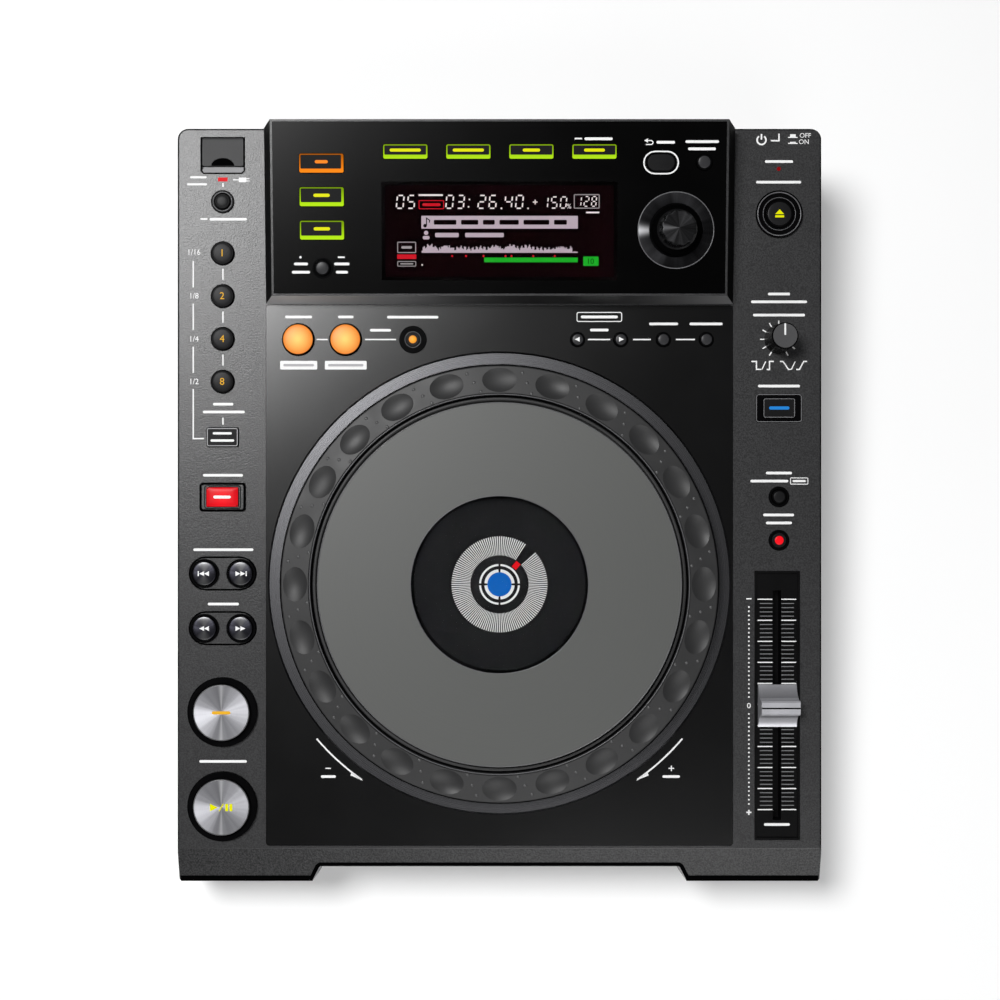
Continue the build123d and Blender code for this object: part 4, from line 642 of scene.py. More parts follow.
class DISCPLAYER_OT_case(Maker, bpy.types.Operator):
    """Puts the case's finishes on its shells, feet and screws"""

    bl_idname = "disc_player.case"
    bl_label = "Case"

    def make(self, colours, sizes):
        # Painted light on the case: near-black zones stand for shade on the hump's sides, the lip and the
        # rounded edges, the bevel is a darker copy of the wing plastic, the front wall has a painted sheen
        # and the finger slope a painted light grey.
        set_zones("upper_case", DECK, "grained_black", [
            ("side_black", self.on_painted_shade_hump_side),
            ("shade_black", self.on_painted_shade_outline),
            ("grained_bevel", lambda p, n: p.y < -0.2 and n.z > 0.5),
            ("wall_black", self.on_painted_sheen_hump_front),
            ("ink_grey", self.on_painted_light_finger_slope)])
        for name, finish in (("lower_case", "pan_steel"), ("rubber_feet", "rubber"), ("case_screws", "zinc"),
                             ("usb_lid", "lid_grey")):
            set_finish([name], finish)
        self.add_front_line()
        self.add_lid_lines()

    def add_lid_lines(self):
        """Painted shade: the dark line in the gap beside the lid and its finger slope, and the dark shape in
        the finger notch.
        """
        middle = LID_SLOPE_V + 8.5
        half = [(10.25, middle + 8.6), (10.25, middle - 7.4), (9.0, middle - 8.6)]
        line = [(LEFT_U - u, v) for u, v in half] + [(LEFT_U + u, v) for u, v in half[::-1]]
        print_marks("lid_painted_shade_line", stroke(line, 0.7), DECK, "case", "shade_black")
        notch = [(u, LID_NOTCH_V + 0.66 * v) for u, v in arc_points(0, 0, 5.3, 0, 180, 24)]
        print_marks("lid_painted_shade_notch", [notch], at(DECK, LEFT_U, 0, -0.3), "usb_lid", "shade_black")

    def on_painted_shade_hump_side(self, p, n):
        # Painted shade on the hump's side walls.
        beside = HUMP_HALF - 1 < abs(p.x) < DECK_HALF + 0.2
        return beside and p.y > HUMP_V and p.z > 0.3 and abs(n.x) > 0.6

    def on_painted_shade_outline(self, p, n):
        """Painted shade: the lip under the bevel and the rounded edges of the case's side and rear walls,
        made near-black.
        """
        if p.y < LIP_V - 0.7:
            return p.z > LIP_H and n.z < 0.985
        if p.y > REAR_V - 0.8:
            return 0.1 < n.z < 0.985
        return abs(p.x) > CASE_HALF - 0.9 and 0.15 < abs(n.x) < 0.985

    def on_painted_sheen_hump_front(self, p, n):
        inside = 0.3 < p.z < PANEL_H + 0.2 and abs(p.x) < DECK_HALF + 0.2
        return inside and HUMP_V - 1 < p.y < PANEL_V + 0.3

    def on_painted_light_finger_slope(self, p, n):
        # Painted light: the slope in front of the lid is given the light grey of the ink.
        return abs(p.x - LEFT_U) < 9.9 and LID_SLOPE_V < p.y < LID_SLOPE_V + 3.6 and p.z > -2.5

    def add_front_line(self):
        """A thin line of painted shade along the front edge, round the finger recess."""
        half = [(RECESS_HALF, RECESS_V), (RECESS_HALF + 1.2, RECESS_V - 0.9),
                (RECESS_HALF + RECESS_SLANT, LIP_V), (CASE_HALF - 0.6, LIP_V)]
        line = [(-u, v) for u, v in half[::-1]] + half
        shapes = stroke(line, 1.9)
        points = [(u, v, BEVEL_FALL * v + 0.12) for shape in shapes for u, v in shape]
        faces = [tuple(range(4 * i, 4 * i + 4)) for i in range(len(shapes))]
        add_piece("front_line", points, faces, "shade_black", "case", DECK)


class DISCPLAYER_OT_panels(Maker, bpy.types.Operator):
    """Puts the polished black on the deck and the display panel"""

    bl_idname = "disc_player.panels"
    bl_label = "Panels"

    def make(self, colours, sizes):
        set_finish(["deck_panel"], "polished_black")
        set_finish(["display_panel"], "polished_panel")
        set_finish(["fader_unit"], "tray_black")


class DISCPLAYER_OT_wheel(Maker, bpy.types.Operator):
    """Finishes the jog wheel: bezel, dial, platter and its clear window"""

    bl_idname = "disc_player.wheel"
    bl_label = "Jog wheel"

    def make(self, colours, sizes):
        set_finish(["jog_dial"], "dial_grey")
        set_finish(["jog_bearing"], "rim_black")
        set_zones("jog_bezel", WHEEL, "satin_ring", [
            ("rim_black", lambda p, n: p.xy.length < BEZEL_INSIDE and abs(n.z) < 0.5)])
        set_zones("jog_platter", WHEEL, "platter_grey", [
            ("wheel_window", self.in_window),
            ("rim_black", lambda p, n: p.z < WINDOW_H - 0.6)])
        self.add_bumps(sizes)
        for name, finish, section in (
                ("platter_groove", "rim_black", [(86.2, 5.6), (88.4, 5.6), (88.4, 9.5), (87.4, 10.2),
                                                 (86.4, 10.2), (86.2, 9.9)]),
                ("platter_rib", "dial_grey", [(85.9, 9.9), (85.9, 11.8), (86.05, 12.0), (87.25, 12.0),
                                              (87.4, 11.8), (87.4, 9.9)]),
                # A black band on the dial's outer chamfer: painted shade in the gap by the bezel.
                ("dial_painted_shade_ring", "rim_black", [(103.04, 9.3), (103.04, 10.03), (102.43, 10.58),
                                             (102.38, 10.5)])):
            turn_piece(name, section, finish, "jog_dial", WHEEL, 180)
        # Thin grey beads on the window's edge, the platter's edge and the dial's inner edge: painted
        # highlights.
        for name, radius, height, body in (("window_painted_highlight", 41.4, WINDOW_H, "jog_platter"),
                                           ("platter_painted_highlight", 84.6, WINDOW_H, "jog_platter"),
                                           ("dial_painted_highlight", 88.85, 12.4, "jog_dial")):
            section = arc_points(radius, height - INK, 0.22, 0, 180, 6)
            turn_piece(name, section, "rim_grey", body, WHEEL, 180)

    def in_window(self, p, n):
        """True for a face of the clear disc, not of the plate round it."""
        radius = p.xy.length
        if radius > WINDOW_RADIUS or p.z < WINDOW_H - 1.05:
            return False
        if n.z > 0.5:
            return p.z > WINDOW_H - 0.1
        return n.z < -0.5 or p.xy.dot(n.xy) > 0

    def add_bumps(self, sizes):
        """Three small bumps between each pair of finger dimples, lighter than the dial: painted highlight."""
        radius = sizes.bump_radius / MM
        points, faces = [], []
        for i in range(DIMPLES):
            for reach, turn in ((99.5, 6.2), (94.9, 7.8), (90.3, 9.5)):
                angle = math.radians(90 + 360 / DIMPLES * i - turn)
                height = 10.8 + (102.0 - reach) * 0.12
                centre = Vector((reach * math.cos(angle), reach * math.sin(angle), height))
                self.add_dome(points, faces, centre, radius)
        add_piece("dial_bumps", points, faces, "bump_grey", "jog_dial", WHEEL, smooth=True)

    def add_dome(self, points, faces, centre, radius):
        """A low dome, half as high as its radius."""
        start, rings, steps = len(points), 4, 12
        for k in range(rings):
            lift = math.radians(90 * k / rings)
            across, up = radius * math.cos(lift), 0.5 * radius * math.sin(lift)
            for x, y in arc_points(0, 0, across, 0, 360, steps)[:-1]:
                points.append(centre + Vector((x, y, up)))
        points.append(centre + Vector((0, 0, 0.5 * radius)))
        for k in range(rings - 1):
            for j in range(steps):
                a, b = start + k * steps + j, start + k * steps + (j + 1) % steps
                faces.append((a, b, b + steps, a + steps))
        top = start + (rings - 1) * steps
        for j in range(steps):
            faces.append((top + j, top + (j + 1) % steps, len(points) - 1))


class DISCPLAYER_OT_knobs(Maker, bpy.types.Operator):
    """Finishes the selector, the speed knob, the fader cap and the surrounds"""

    bl_idname = "disc_player.knobs"
    bl_label = "Knobs and surrounds"

    def make(self, colours, sizes):
        # Painted shade: the selector knob below 6.4 mm, its flange, is near-black without gloss.
        set_zones("selector_knob", at(PANEL, SELECTOR_U, SELECTOR_V), "knob_black", [
            ("shade_black", lambda p, n: p.z < 6.4)])
        set_zones("speed_knob", at(DECK, RIGHT_U, SPEED_V), "rim_black", [
            ("knob_grey", lambda p, n: n.z > 0.9 and p.z > SPEED_TOP - 1.5)])
        set_finish(["selector_shaft"], "zinc")
        # Painted shade: the fader cap's rear part and its front-facing faces take a darker copy of the
        # silver.
        set_zones("tempo_slider", at(DECK, FADER_U, FADER_V), "satin_silver", [
            ("satin_dark", lambda p, n: p.y > 4.2 or n.y < -0.8)])
        set_zones("control_surrounds", DECK, "rim_black", [("grained_black", self.on_grey_surround)])
        # Painted shade: black lines round the stadium trays and round the reverse key's frame.
        trays = [shape for v in (TRACK_V, SEARCH_V) for shape in box_line(LEFT_U, v, 32.4, 16.2, 0.8, 8.1)]
        print_marks("pair_tray_painted_shade", trays, at(DECK, 0, 0, -0.5), "case", "shade_black")
        frame_lines = box_line(0, 0, 22.0, 13.8, 1.15, 1.4) + box_line(0, 0, 17.3, 11.1, 0.4, 0.8)
        print_marks("reverse_painted_shade_lines", frame_lines, at(DECK, LEFT_U, REVERSE_V, 0.5), "case", "shade_black")
        print_marks("fader_line", stroke([(-9.05, 0), (9.05, 0)], 0.7), at(DECK, FADER_U, FADER_V, FADER_TOP),
                    "tempo_slider", "rim_black", 0.03)
        print_marks("speed_pointer", bar(0, 3.0, 0.85, 5.4, 0.3), at(DECK, RIGHT_U, SPEED_V, SPEED_TOP - 0.3),
                    "speed_knob", "ink_white")
        self.add_rings()
        self.add_selector_faces()

    def on_grey_surround(self, p, n):
        """The sheets of the stadium trays and the face of the reverse key's frame."""
        if n.z < 0.9 or abs(p.x - LEFT_U) > 17:
            return False
        return abs(p.y - REVERSE_V) < 7 or (90 < p.y < 142 and p.z < -0.3)

    def add_selector_faces(self):
        """The spun faces of the selector's fluted cap and of the dish round it, with painted highlight rays.
        """
        place = at(PANEL, SELECTOR_U, SELECTOR_V)
        top = SELECTOR_TOP + 0.05
        turn_piece("selector_face", [(7.75, top - 0.25), (7.5, top), (7.35, top), (0.0, top - 0.05)],
                   "spun_painted_rays_black", "selector_knob", place, 144,
                   lambda angle, radius: -0.035 * radius * math.cos(12 * angle))
        turn_piece("dish_face", [(12.3, 0.75), (12.5, 0.98), (12.65, 0.98), (17.3, 0.97), (17.6, 0.93)],
                   "spun_painted_rays_dish", "case", place, 144)
        turn_piece("dish_line", [(17.35, 0.95), (17.5, 1.06), (17.65, 1.06), (17.8, 0.93)],
                   "rim_grey", "case", place, 144)

    def add_rings(self):
        """Bright edges of the eject, memory-stick and reloop rings."""
        for name, u, v, h, radius, thick in (("eject_ring", RIGHT_U, EJECT_V, 1.6, 10.2, 0.5),
                                             ("eject_inner_ring", RIGHT_U, EJECT_V, 1.6, 7.7, 0.3),
                                             ("stick_ring", LEFT_U, STICK_V, 0.8, 4.45, 0.42),
                                             ("reloop_ring", RELOOP_U, KEY_ROW_V, 0.7, 3.75, 0.3)):
            section = [(radius - thick / 2, h - 0.02), (radius - thick / 5, h + 0.1),
                       (radius + thick / 5, h + 0.1), (radius + thick / 2, h - 0.02)]
            turn_piece(name, section, "rim_grey", "case", at(DECK, u, v), 72)


class DISCPLAYER_OT_keys(Maker, bpy.types.Operator):
    """Finishes the push keys and gives them their caps"""

    bl_idname = "disc_player.keys"
    bl_label = "Keys"

    def make(self, colours, sizes):
        set_finish([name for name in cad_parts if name.endswith("_button")], "key_black")
        for name, (plane, u, v, radius, top) in round_keys().items():
            set_finish([name + "_button"], "rim_black")
            paired = name.startswith(("track_", "search_"))
            small = radius < 3.4 or plane == PANEL
            # The caps of the paired keys have painted highlight rays.
            self.add_cap(name, "_dome", at(plane, u, v), radius - (0.15 if paired else 0.75), top, DOME,
                         "spun_painted_rays_key" if paired else "cap_grey" if small else "key_cap", "key_black", 6, 48)
        for name, v in (("cue", CUE_V), ("play", PLAY_V)):
            self.add_spun_cap(name, v)
        # Painted shade: dark rings in the gaps round the loop in and out keys.
        gaps = []
        for name, u in (("loop_in", LOOP_IN_U), ("loop_out", LOOP_OUT_U)):
            place = at(DECK, u, KEY_ROW_V)
            self.add_cap(name, "_lens", place, 7.0, 2.2, 0.7, "amber_lens", "key_orange", 9, 72)
            gaps += ring(u, KEY_ROW_V, 7.5, 0.7)
        print_marks("loop_key_painted_shade", gaps, DECK, "case", "shade_black")
        for name, u, v, radius, top, finish, slot in (
                ("reloop", RELOOP_U, KEY_ROW_V, 1.9, 1.6, "amber_spot", "key_orange"),
                ("master_tempo", RIGHT_U, MASTER_V, 2.1, 1.4, "red_lens", "key_red")):
            self.add_cap(name, "_lens", at(DECK, u, v), radius, top, 0.3, finish, slot, 9, 72)
        self.add_reverse_lens()
        for name, v in SOURCE_KEYS.items():
            chosen = name == "source_pc"
            self.add_lit_frame(name, SOURCE_U, v, 20.4, 8.6, 1.0, "edge_orange" if chosen else "edge_green")
        for name, u in MENU_KEYS.items():
            self.add_lit_frame(name, u, MENU_V, 20.4, 6.5, 0.0, "edge_green")

    def add_cap(self, name, tail, place, radius, top, crown, finish, slot, rings, steps):
        """The softly domed top of a round key."""
        arc = arc_points(0, 0, 1, 0, 90, rings)
        section = [(radius * across, top - 0.05 + crown * up) for across, up in arc]
        turn_piece(name + tail, section, finish, name + "_button", place, steps)

    def add_spun_cap(self, name, v):
        """The dished metal face of a big round key, with painted highlight rays."""
        radius, top, key = 13.25, BIG_KEY_TOP, name + "_button"
        place = at(DECK, LEFT_U, v)
        flat, edge = radius - 0.5, top + 0.3
        rim = [(radius, top - 0.35), (radius, top + 0.15), (radius - 0.25, top + 0.35), (flat, edge)]
        turn_piece(name + "_rim", rim, "rim_grey", key, place, 144)
        face = [(flat * (1 - i / 8), edge - 0.2 * math.sin(math.pi * i / 16)) for i in range(9)]
        turn_piece(name + "_face", face, "spun_silver", key, place, 144)

    def add_reverse_lens(self):
        """The lit red cap of the reverse key, softly pillowed."""
        points, faces = [], []
        steps = 12
        for i in range(steps + 1):
            for j in range(steps + 1):
                s, t = 2 * i / steps - 1, 2 * j / steps - 1
                lift = (1 - abs(s) ** 4) * (1 - abs(t) ** 4)
                points.append((s * 14.9 / 2, t * 9.1 / 2, 1.35 + 0.45 * lift ** 0.5))
        for i in range(steps):
            for j in range(steps):
                a = i * (steps + 1) + j
                faces.append((a, a + steps + 1, a + steps + 2, a + 1))
        add_piece("reverse_lens", points, faces, "red_lens", "reverse_button",
                  at(DECK, LEFT_U, REVERSE_V), smooth=True)

    def add_lit_frame(self, name, u, v, width, length, lean, finish):
        """A key with a dark face in a lit, sloping border that is widest at the front."""
        top, face_h, rear, front, left = 0.9, 1.25, 0.55, 1.75, 0.55
        right = left + lean * 0.5
        outer = pill_line(0, 0, width, length, 0.8)
        mid_u, mid_v = (left - right) / 2, (front - rear) / 2
        inner = pill_line(mid_u, mid_v, width - left - right, length - front - rear, 0.45)
        n = len(outer)
        sides = [(i, (i + 1) % n, n + (i + 1) % n, n + i) for i in range(n)]
        points = [(x, y, h) for line, h in ((outer, top - 0.6), (outer, top + 0.02), (inner, face_h))
                  for x, y in line]
        place, key = at(PANEL, u, v), name + "_button"
        faces = sides + [tuple(n + i for i in side) for side in sides]
        add_piece(name + "_light", points, faces, finish, key, place)
        cap = [(x, y, face_h) for x, y in inner]
        cap += [(mid_u + (x - mid_u) * 0.97, mid_v + (y - mid_v) * 0.93, face_h - 0.06) for x, y in inner]
        faces = sides + [tuple(range(n, 2 * n))]
        add_piece(name + "_cap", cap, faces, "screen_black", key, place)


class DISCPLAYER_OT_key_marks(Maker, bpy.types.Operator):
    """Prints the figures and signs on the keys"""

    bl_idname = "disc_player.key_marks"
    bl_label = "Key marks"

    def make(self, colours, sizes):
        self.faces = key_faces()
        for name in LOOP_KEYS:
            self.mark(name, text_shapes(name[-1], 0, 0, 3.3), "lit_amber_mark")
        ways = ((-1, "_back"), (1, "_forward"))
        for name in ("track", "search"):
            for side, way in ways:
                shapes = arrow(-1.15, 0, 2.3, side) + arrow(1.15, 0, 2.3, side)
                if name == "track":
                    shapes += bar(side * 2.75, 0, 0.55, 2.3, 0.1)
                self.mark(name + way, shapes, "ink_white")
        self.mark("cue", bar(0, 0, 8.8, 1.5, 0.75), "lit_amber_mark")
        play = arrow(-3.5, 0, 3.6, 1) + stroke([(-1.0, -1.7), (1.0, 1.7)], 0.5)
        play += bar(2.6, 0, 1.3, 3.4, 0.15) + bar(4.6, 0, 1.3, 3.4, 0.15)
        self.mark("play", play, "lit_yellow")
        eject = [[(-2.1, -0.3), (2.1, -0.3), (0, 2.0)], pill_line(0, -1.35, 4.2, 1.0, 0.1)]
        self.mark("eject", eject, "lit_yellow")
        for side, way in ways:
            self.mark("call" + way, arrow(side * 0.2, 0, 2.3, side), "ink_white")
        self.mark("beat_select", bar(0, 1.8, 9.0, 1.1) + bar(0, -1.6, 11.2, 1.1), "ink_white")
        self.mark("beat_select", box_line(0, 0, 14.5, 8.5, 0.35, 0.7), "ink_grey", "_edge")
        self.mark("reverse", bar(0, 0, 8.2, 1.4), "ink_white")
        frame_line = box_line(0, 0, 21.6, 13.2, 0.3, 1.2)
        print_marks("jog_mode_frame", frame_line, at(DECK, RIGHT_U, JOG_MODE_V, 0.5), "case", "ink_dim")
        self.mark("jog_mode", box_line(0, 0, 14.8, 9.0, 0.3, 0.7), "ink_dim", "_edge")
        self.mark("jog_mode", bar(0, 0, 9.6, 1.5), "lit_figure_blue")
        for name, width, length, finish in (
                ("source_pc", 6.0, 1.5, "lit_orange"), ("source_usb", 7.6, 1.5, "lit_yellow"),
                ("source_disc", 7.6, 1.5, "lit_yellow"), ("browse", 14.4, 1.4, "lit_yellow"),
                ("tag_list", 14.4, 1.4, "lit_yellow"), ("info", 8.0, 1.4, "lit_yellow"),
                ("menu", 9.6, 1.4, "lit_yellow")):
            self.mark(name, bar(0, 0.6, width, length), finish)

    def mark(self, name, shapes, finish, tail="_mark"):
        print_marks(name + tail, shapes, self.faces[name], name + "_button", finish, 0.06)


class DISCPLAYER_OT_left_marks(Maker, bpy.types.Operator):
    """Prints the left wing"""

    bl_idname = "disc_player.left_marks"
    bl_label = "Left wing marks"

    def make(self, colours, sizes):
        line, label = sizes.line / MM, sizes.label / MM
        shapes = bar(-143.0, 318.6, 7.8, 1.0) + bar(-143.6, 315.3, 9.5, 1.0)
        shapes += bar(-140.3, 298.8, 3.3, 0.8, 0.2) + bar(-128.8, 298.7, 17.8, label)
        shapes += self.plug_sign()
        for u, top, bottom in ((-131.3, 315.95, 314.0), (-131.3, 275.2, 269.9), (-131.3, 254.9, 249.6),
                               (-131.3, 234.5, 229.2), (-131.3, 204.5, 201.2), (-145.4, 278.9, 266.3),
                               (-145.4, 258.7, 246.1), (-145.4, 238.2, 225.7)):
            shapes += stroke([(u, top), (u, bottom)], line)
        shapes += stroke([(-145.4, 218.1), (-145.4, 194.56), (-140.3, 194.56)], line)
        for text, v in (("1/16", 283.1), ("1/8", 262.4), ("1/4", 241.9), ("1/2", 221.7)):
            shapes += text_shapes(text, -144.8, v, 2.7, 0.95)
        shapes += bars(label, ((-131.2, 210.9, 9.7), (-130.9, 207.2, 20.0), (-131.3, 177.15, 19.0),
                               (-131.1, 141.8, 28.5), (-131.1, 116.0, 14.8), (-131.2, 41.3, 22.5)))
        print_marks("left_wing_marks", shapes, DECK, "case", "ink_white")

    def plug_sign(self):
        """A small generic plug: body, two prongs and a lead."""
        shapes = bar(-122.0, 317.4, 3.6, 2.2, 0.5) + stroke([(-123.8, 317.4), (-126.6, 317.4)], 0.45)
        for v in (317.95, 316.85):
            shapes += stroke([(-120.2, v), (-118.7, v)], 0.4)
        return shapes


class DISCPLAYER_OT_right_marks(Maker, bpy.types.Operator):
    """Prints the right wing, the scale beside the fader and the ticks in its tray"""

    bl_idname = "disc_player.right_marks"
    bl_label = "Right wing marks"

    def make(self, colours, sizes):
        shapes = bars(sizes.label / MM, (
            (132.7, 326.1, 13.4), (132.5, 316.3, 21.4), (132.7, 263.2, 10.5), (132.7, 259.5, 26.6),
            (132.7, 253.2, 24.7), (132.7, 219.5, 19.9), (132.7, 178.2, 12.4), (128.1, 174.4, 18.0),
            (132.5, 158.3, 14.7), (132.7, 154.5, 12.4)))
        shapes += self.power_signs() + self.speed_signs() + self.dot_scale()
        shapes += box_line(142.3, 174.4, 8.6, 3.3, 0.35, 0.4) + bar(142.3, 174.4, 6.4, 1.0)
        print_marks("right_wing_marks", shapes, DECK, "case", "ink_white")
        self.print_ticks(sizes)

    def power_signs(self):
        """The power sign, the line that leads to the rear switch and the switch's two states."""
        shapes = ring(124.4, 336.3, 2.1, 0.75, 125, 415, 40) + stroke([(124.4, 336.5), (124.4, 339.2)], 0.75)
        shapes += stroke([(128.8, 336.0), (132.7, 336.0), (132.7, 339.3)], 0.7)
        for v, lift in ((337.55, 1.3), (334.7, 0.55)):
            shapes += stroke([(137.0, v), (141.5, v)], 0.5) + bar(139.3, v + lift / 2 + 0.2, 2.7, lift, 0.1)
        return shapes + text_shapes("OFF", 145.2, 338.5, 2.2) + text_shapes("ON", 144.5, 335.5, 2.2)

    def speed_signs(self):
        """The ticks round the speed knob, and under it the signs of quick and slow stops and starts."""
        shapes = []
        for i in range(-5, 6):
            angle = math.radians(90 - 30 * i)
            across, along = math.cos(angle), math.sin(angle)
            shapes += stroke([(RIGHT_U + r * across, SPEED_V + r * along) for r in (6.9, 8.9)], 0.55)
        low, high = 227.4, 231.2
        for thick, line in ((0.6, [(119.6, high), (122.0, high), (122.0, low), (124.3, low)]),
                            (0.5, [(124.6, low), (126.4, high)]),
                            (0.6, [(126.9, low), (128.2, low), (128.2, high), (130.2, high)]),
                            (0.6, [(133.2, high), (134.6, high), (137.2, low), (138.6, low)]),
                            (0.5, [(138.6, low), (140.4, high)]),
                            (0.6, [(140.9, low), (142.4, low), (144.4, high), (146.0, high)])):
            shapes += stroke(line, thick)
        return shapes

    def dot_scale(self):
        """The dotted scale beside the fader, with its minus, zero and plus."""
        u = 118.4
        shapes = bar(u, 118.5, 2.4, 0.6, 0.1) + plus(u, 17.1, 2.4, 0.7)
        shapes += text_shapes("0", u, FADER_V, 2.5, 1.1)
        for start, end in ((114.6, 71.9), (63.8, 21.1)):
            for i in range(22):
                shapes += spot(u, start + (end - start) * i / 21, 0.42, 10)
        return shapes

    def print_ticks(self, sizes):
        """Ticks on both sides of the slot, every fifth one long."""
        bright, dim = [], []
        for i in range(-25, 26):
            v = i * sizes.tick_pitch / MM + 0.4
            group, reach, thick = (dim, 8.1, 0.8) if i % 5 else (bright, 9.2, 1.0)
            for side in (-1, 1):
                group += stroke([(side * 2.15, v), (side * reach, v)], thick * sizes.tick / MM)
        for name, shapes, finish in (("fader_long_ticks", bright, "ink_white"),
                                     ("fader_short_ticks", dim, "ink_dim"),
                                     ("fader_label", bar(0, 11.1 - FADER_V, 12.3, 1.25), "ink_white")):
            print_marks(name, shapes, at(DECK, FADER_U, FADER_V, FADER_FLOOR), "case", finish)


class DISCPLAYER_OT_deck_marks(Maker, bpy.types.Operator):
    """Prints the deck"""

    bl_idname = "disc_player.deck_marks"
    bl_label = "Deck marks"

    def make(self, colours, sizes):
        line, label = sizes.line / MM, sizes.label / MM
        shapes = bars(label, ((-95.4, 252.3, 12.8), (-73.0, 252.3, 7.4), (-56.5, 246.0, 10.0),
                              (-41.2, 252.2, 24.4), (47.4, 246.1, 8.8), (77.9, 249.0, 13.8),
                              (98.05, 249.0, 15.7), (-81.2, 34.1, 7.1), (81.5, 34.1, 8.3)))
        shapes += box_line(47.4, 252.3, 21.6, 4.7, 0.4, 0.8) + bar(47.4, 252.3, 17.6, 1.3)
        for start, end in ((-86.8, -81.6), (-63.9, -49.1), (42.0, 52.5), (63.4, 71.9), (83.8, 92.8)):
            shapes += stroke([(start, 241.6), (end, 241.6)], line)
        shapes += self.turn_arrow(-1) + self.turn_arrow(1)
        shapes += bar(-81.3, 38.0, 2.6, 0.5, 0.1) + plus(81.6, 38.0, 2.6, 0.5)
        print_marks("deck_marks", shapes, DECK, "case", "ink_white")
        boxes, words = [], []
        for u, box_width, word_width in ((-95.35, 17.6, 14.6), (-73.0, 19.8, 16.8)):
            boxes += bar(u, 229.4, box_width, 4.1, 0.5)
            words += bar(u, 229.4, word_width, 1.2)
        print_marks("adjust_boxes", boxes, DECK, "case", "ink_white")
        print_marks("adjust_words", words, DECK, "case", "ink_grey", 2 * INK)

    def turn_arrow(self, side):
        """An arc beside the wheel that ends in half an arrow head."""
        path = [(-side * u, v) for u, v in arc_points(0, WHEEL_V, 114.0, 220.4, 235.0, 16)]
        tip, tail = Vector(path[-1]), Vector(path[-5])
        way = (tip - tail).normalized()
        across = Vector((-way.y, way.x)) * side
        head = [tip + way * 0.8, tip - way * 6.0, tip - way * 5.6 + across * 1.6]
        return stroke(path, 0.75) + [[tuple(corner) for corner in head]]


class DISCPLAYER_OT_panel_marks(Maker, bpy.types.Operator):
    """Prints the display panel"""

    bl_idname = "disc_player.panel_marks"
    bl_label = "Display panel marks"

    def make(self, colours, sizes):
        shapes = bars(sizes.label / MM, (
            (45.8, 72.1, 13.0), (-92.4, 14.7, 6.5), (-92.45, 10.9, 8.4), (-73.4, 14.7, 7.2),
            (-73.4, 10.9, 5.6), (76.9, 70.5, 8.6), (93.8, 70.8, 15.5), (93.7, 67.5, 12.9)))
        shapes += bar(36.45, 72.2, 3.4, 0.65, 0.1)
        shapes += spot(-92.6, 17.8, 0.55, 14) + bar(-73.6, 17.8, 3.2, 0.7, 0.1)
        back_arrow = [(68.3, 71.3), (70.4, 71.3), (71.0, 70.7), (71.0, 70.1), (70.4, 69.5), (67.6, 69.5)]
        shapes += stroke(back_arrow, 0.45) + [[(66.9, 71.3), (68.7, 72.3), (68.7, 70.3)]]
        print_marks("panel_marks", shapes, PANEL, "case", "ink_white")
        frame_line = box_line(74.8, 61.2, 16.6, 10.8, 0.65, 5.1)
        print_marks("back_key_line", frame_line, PANEL, "case", "ink_white", 0.53)


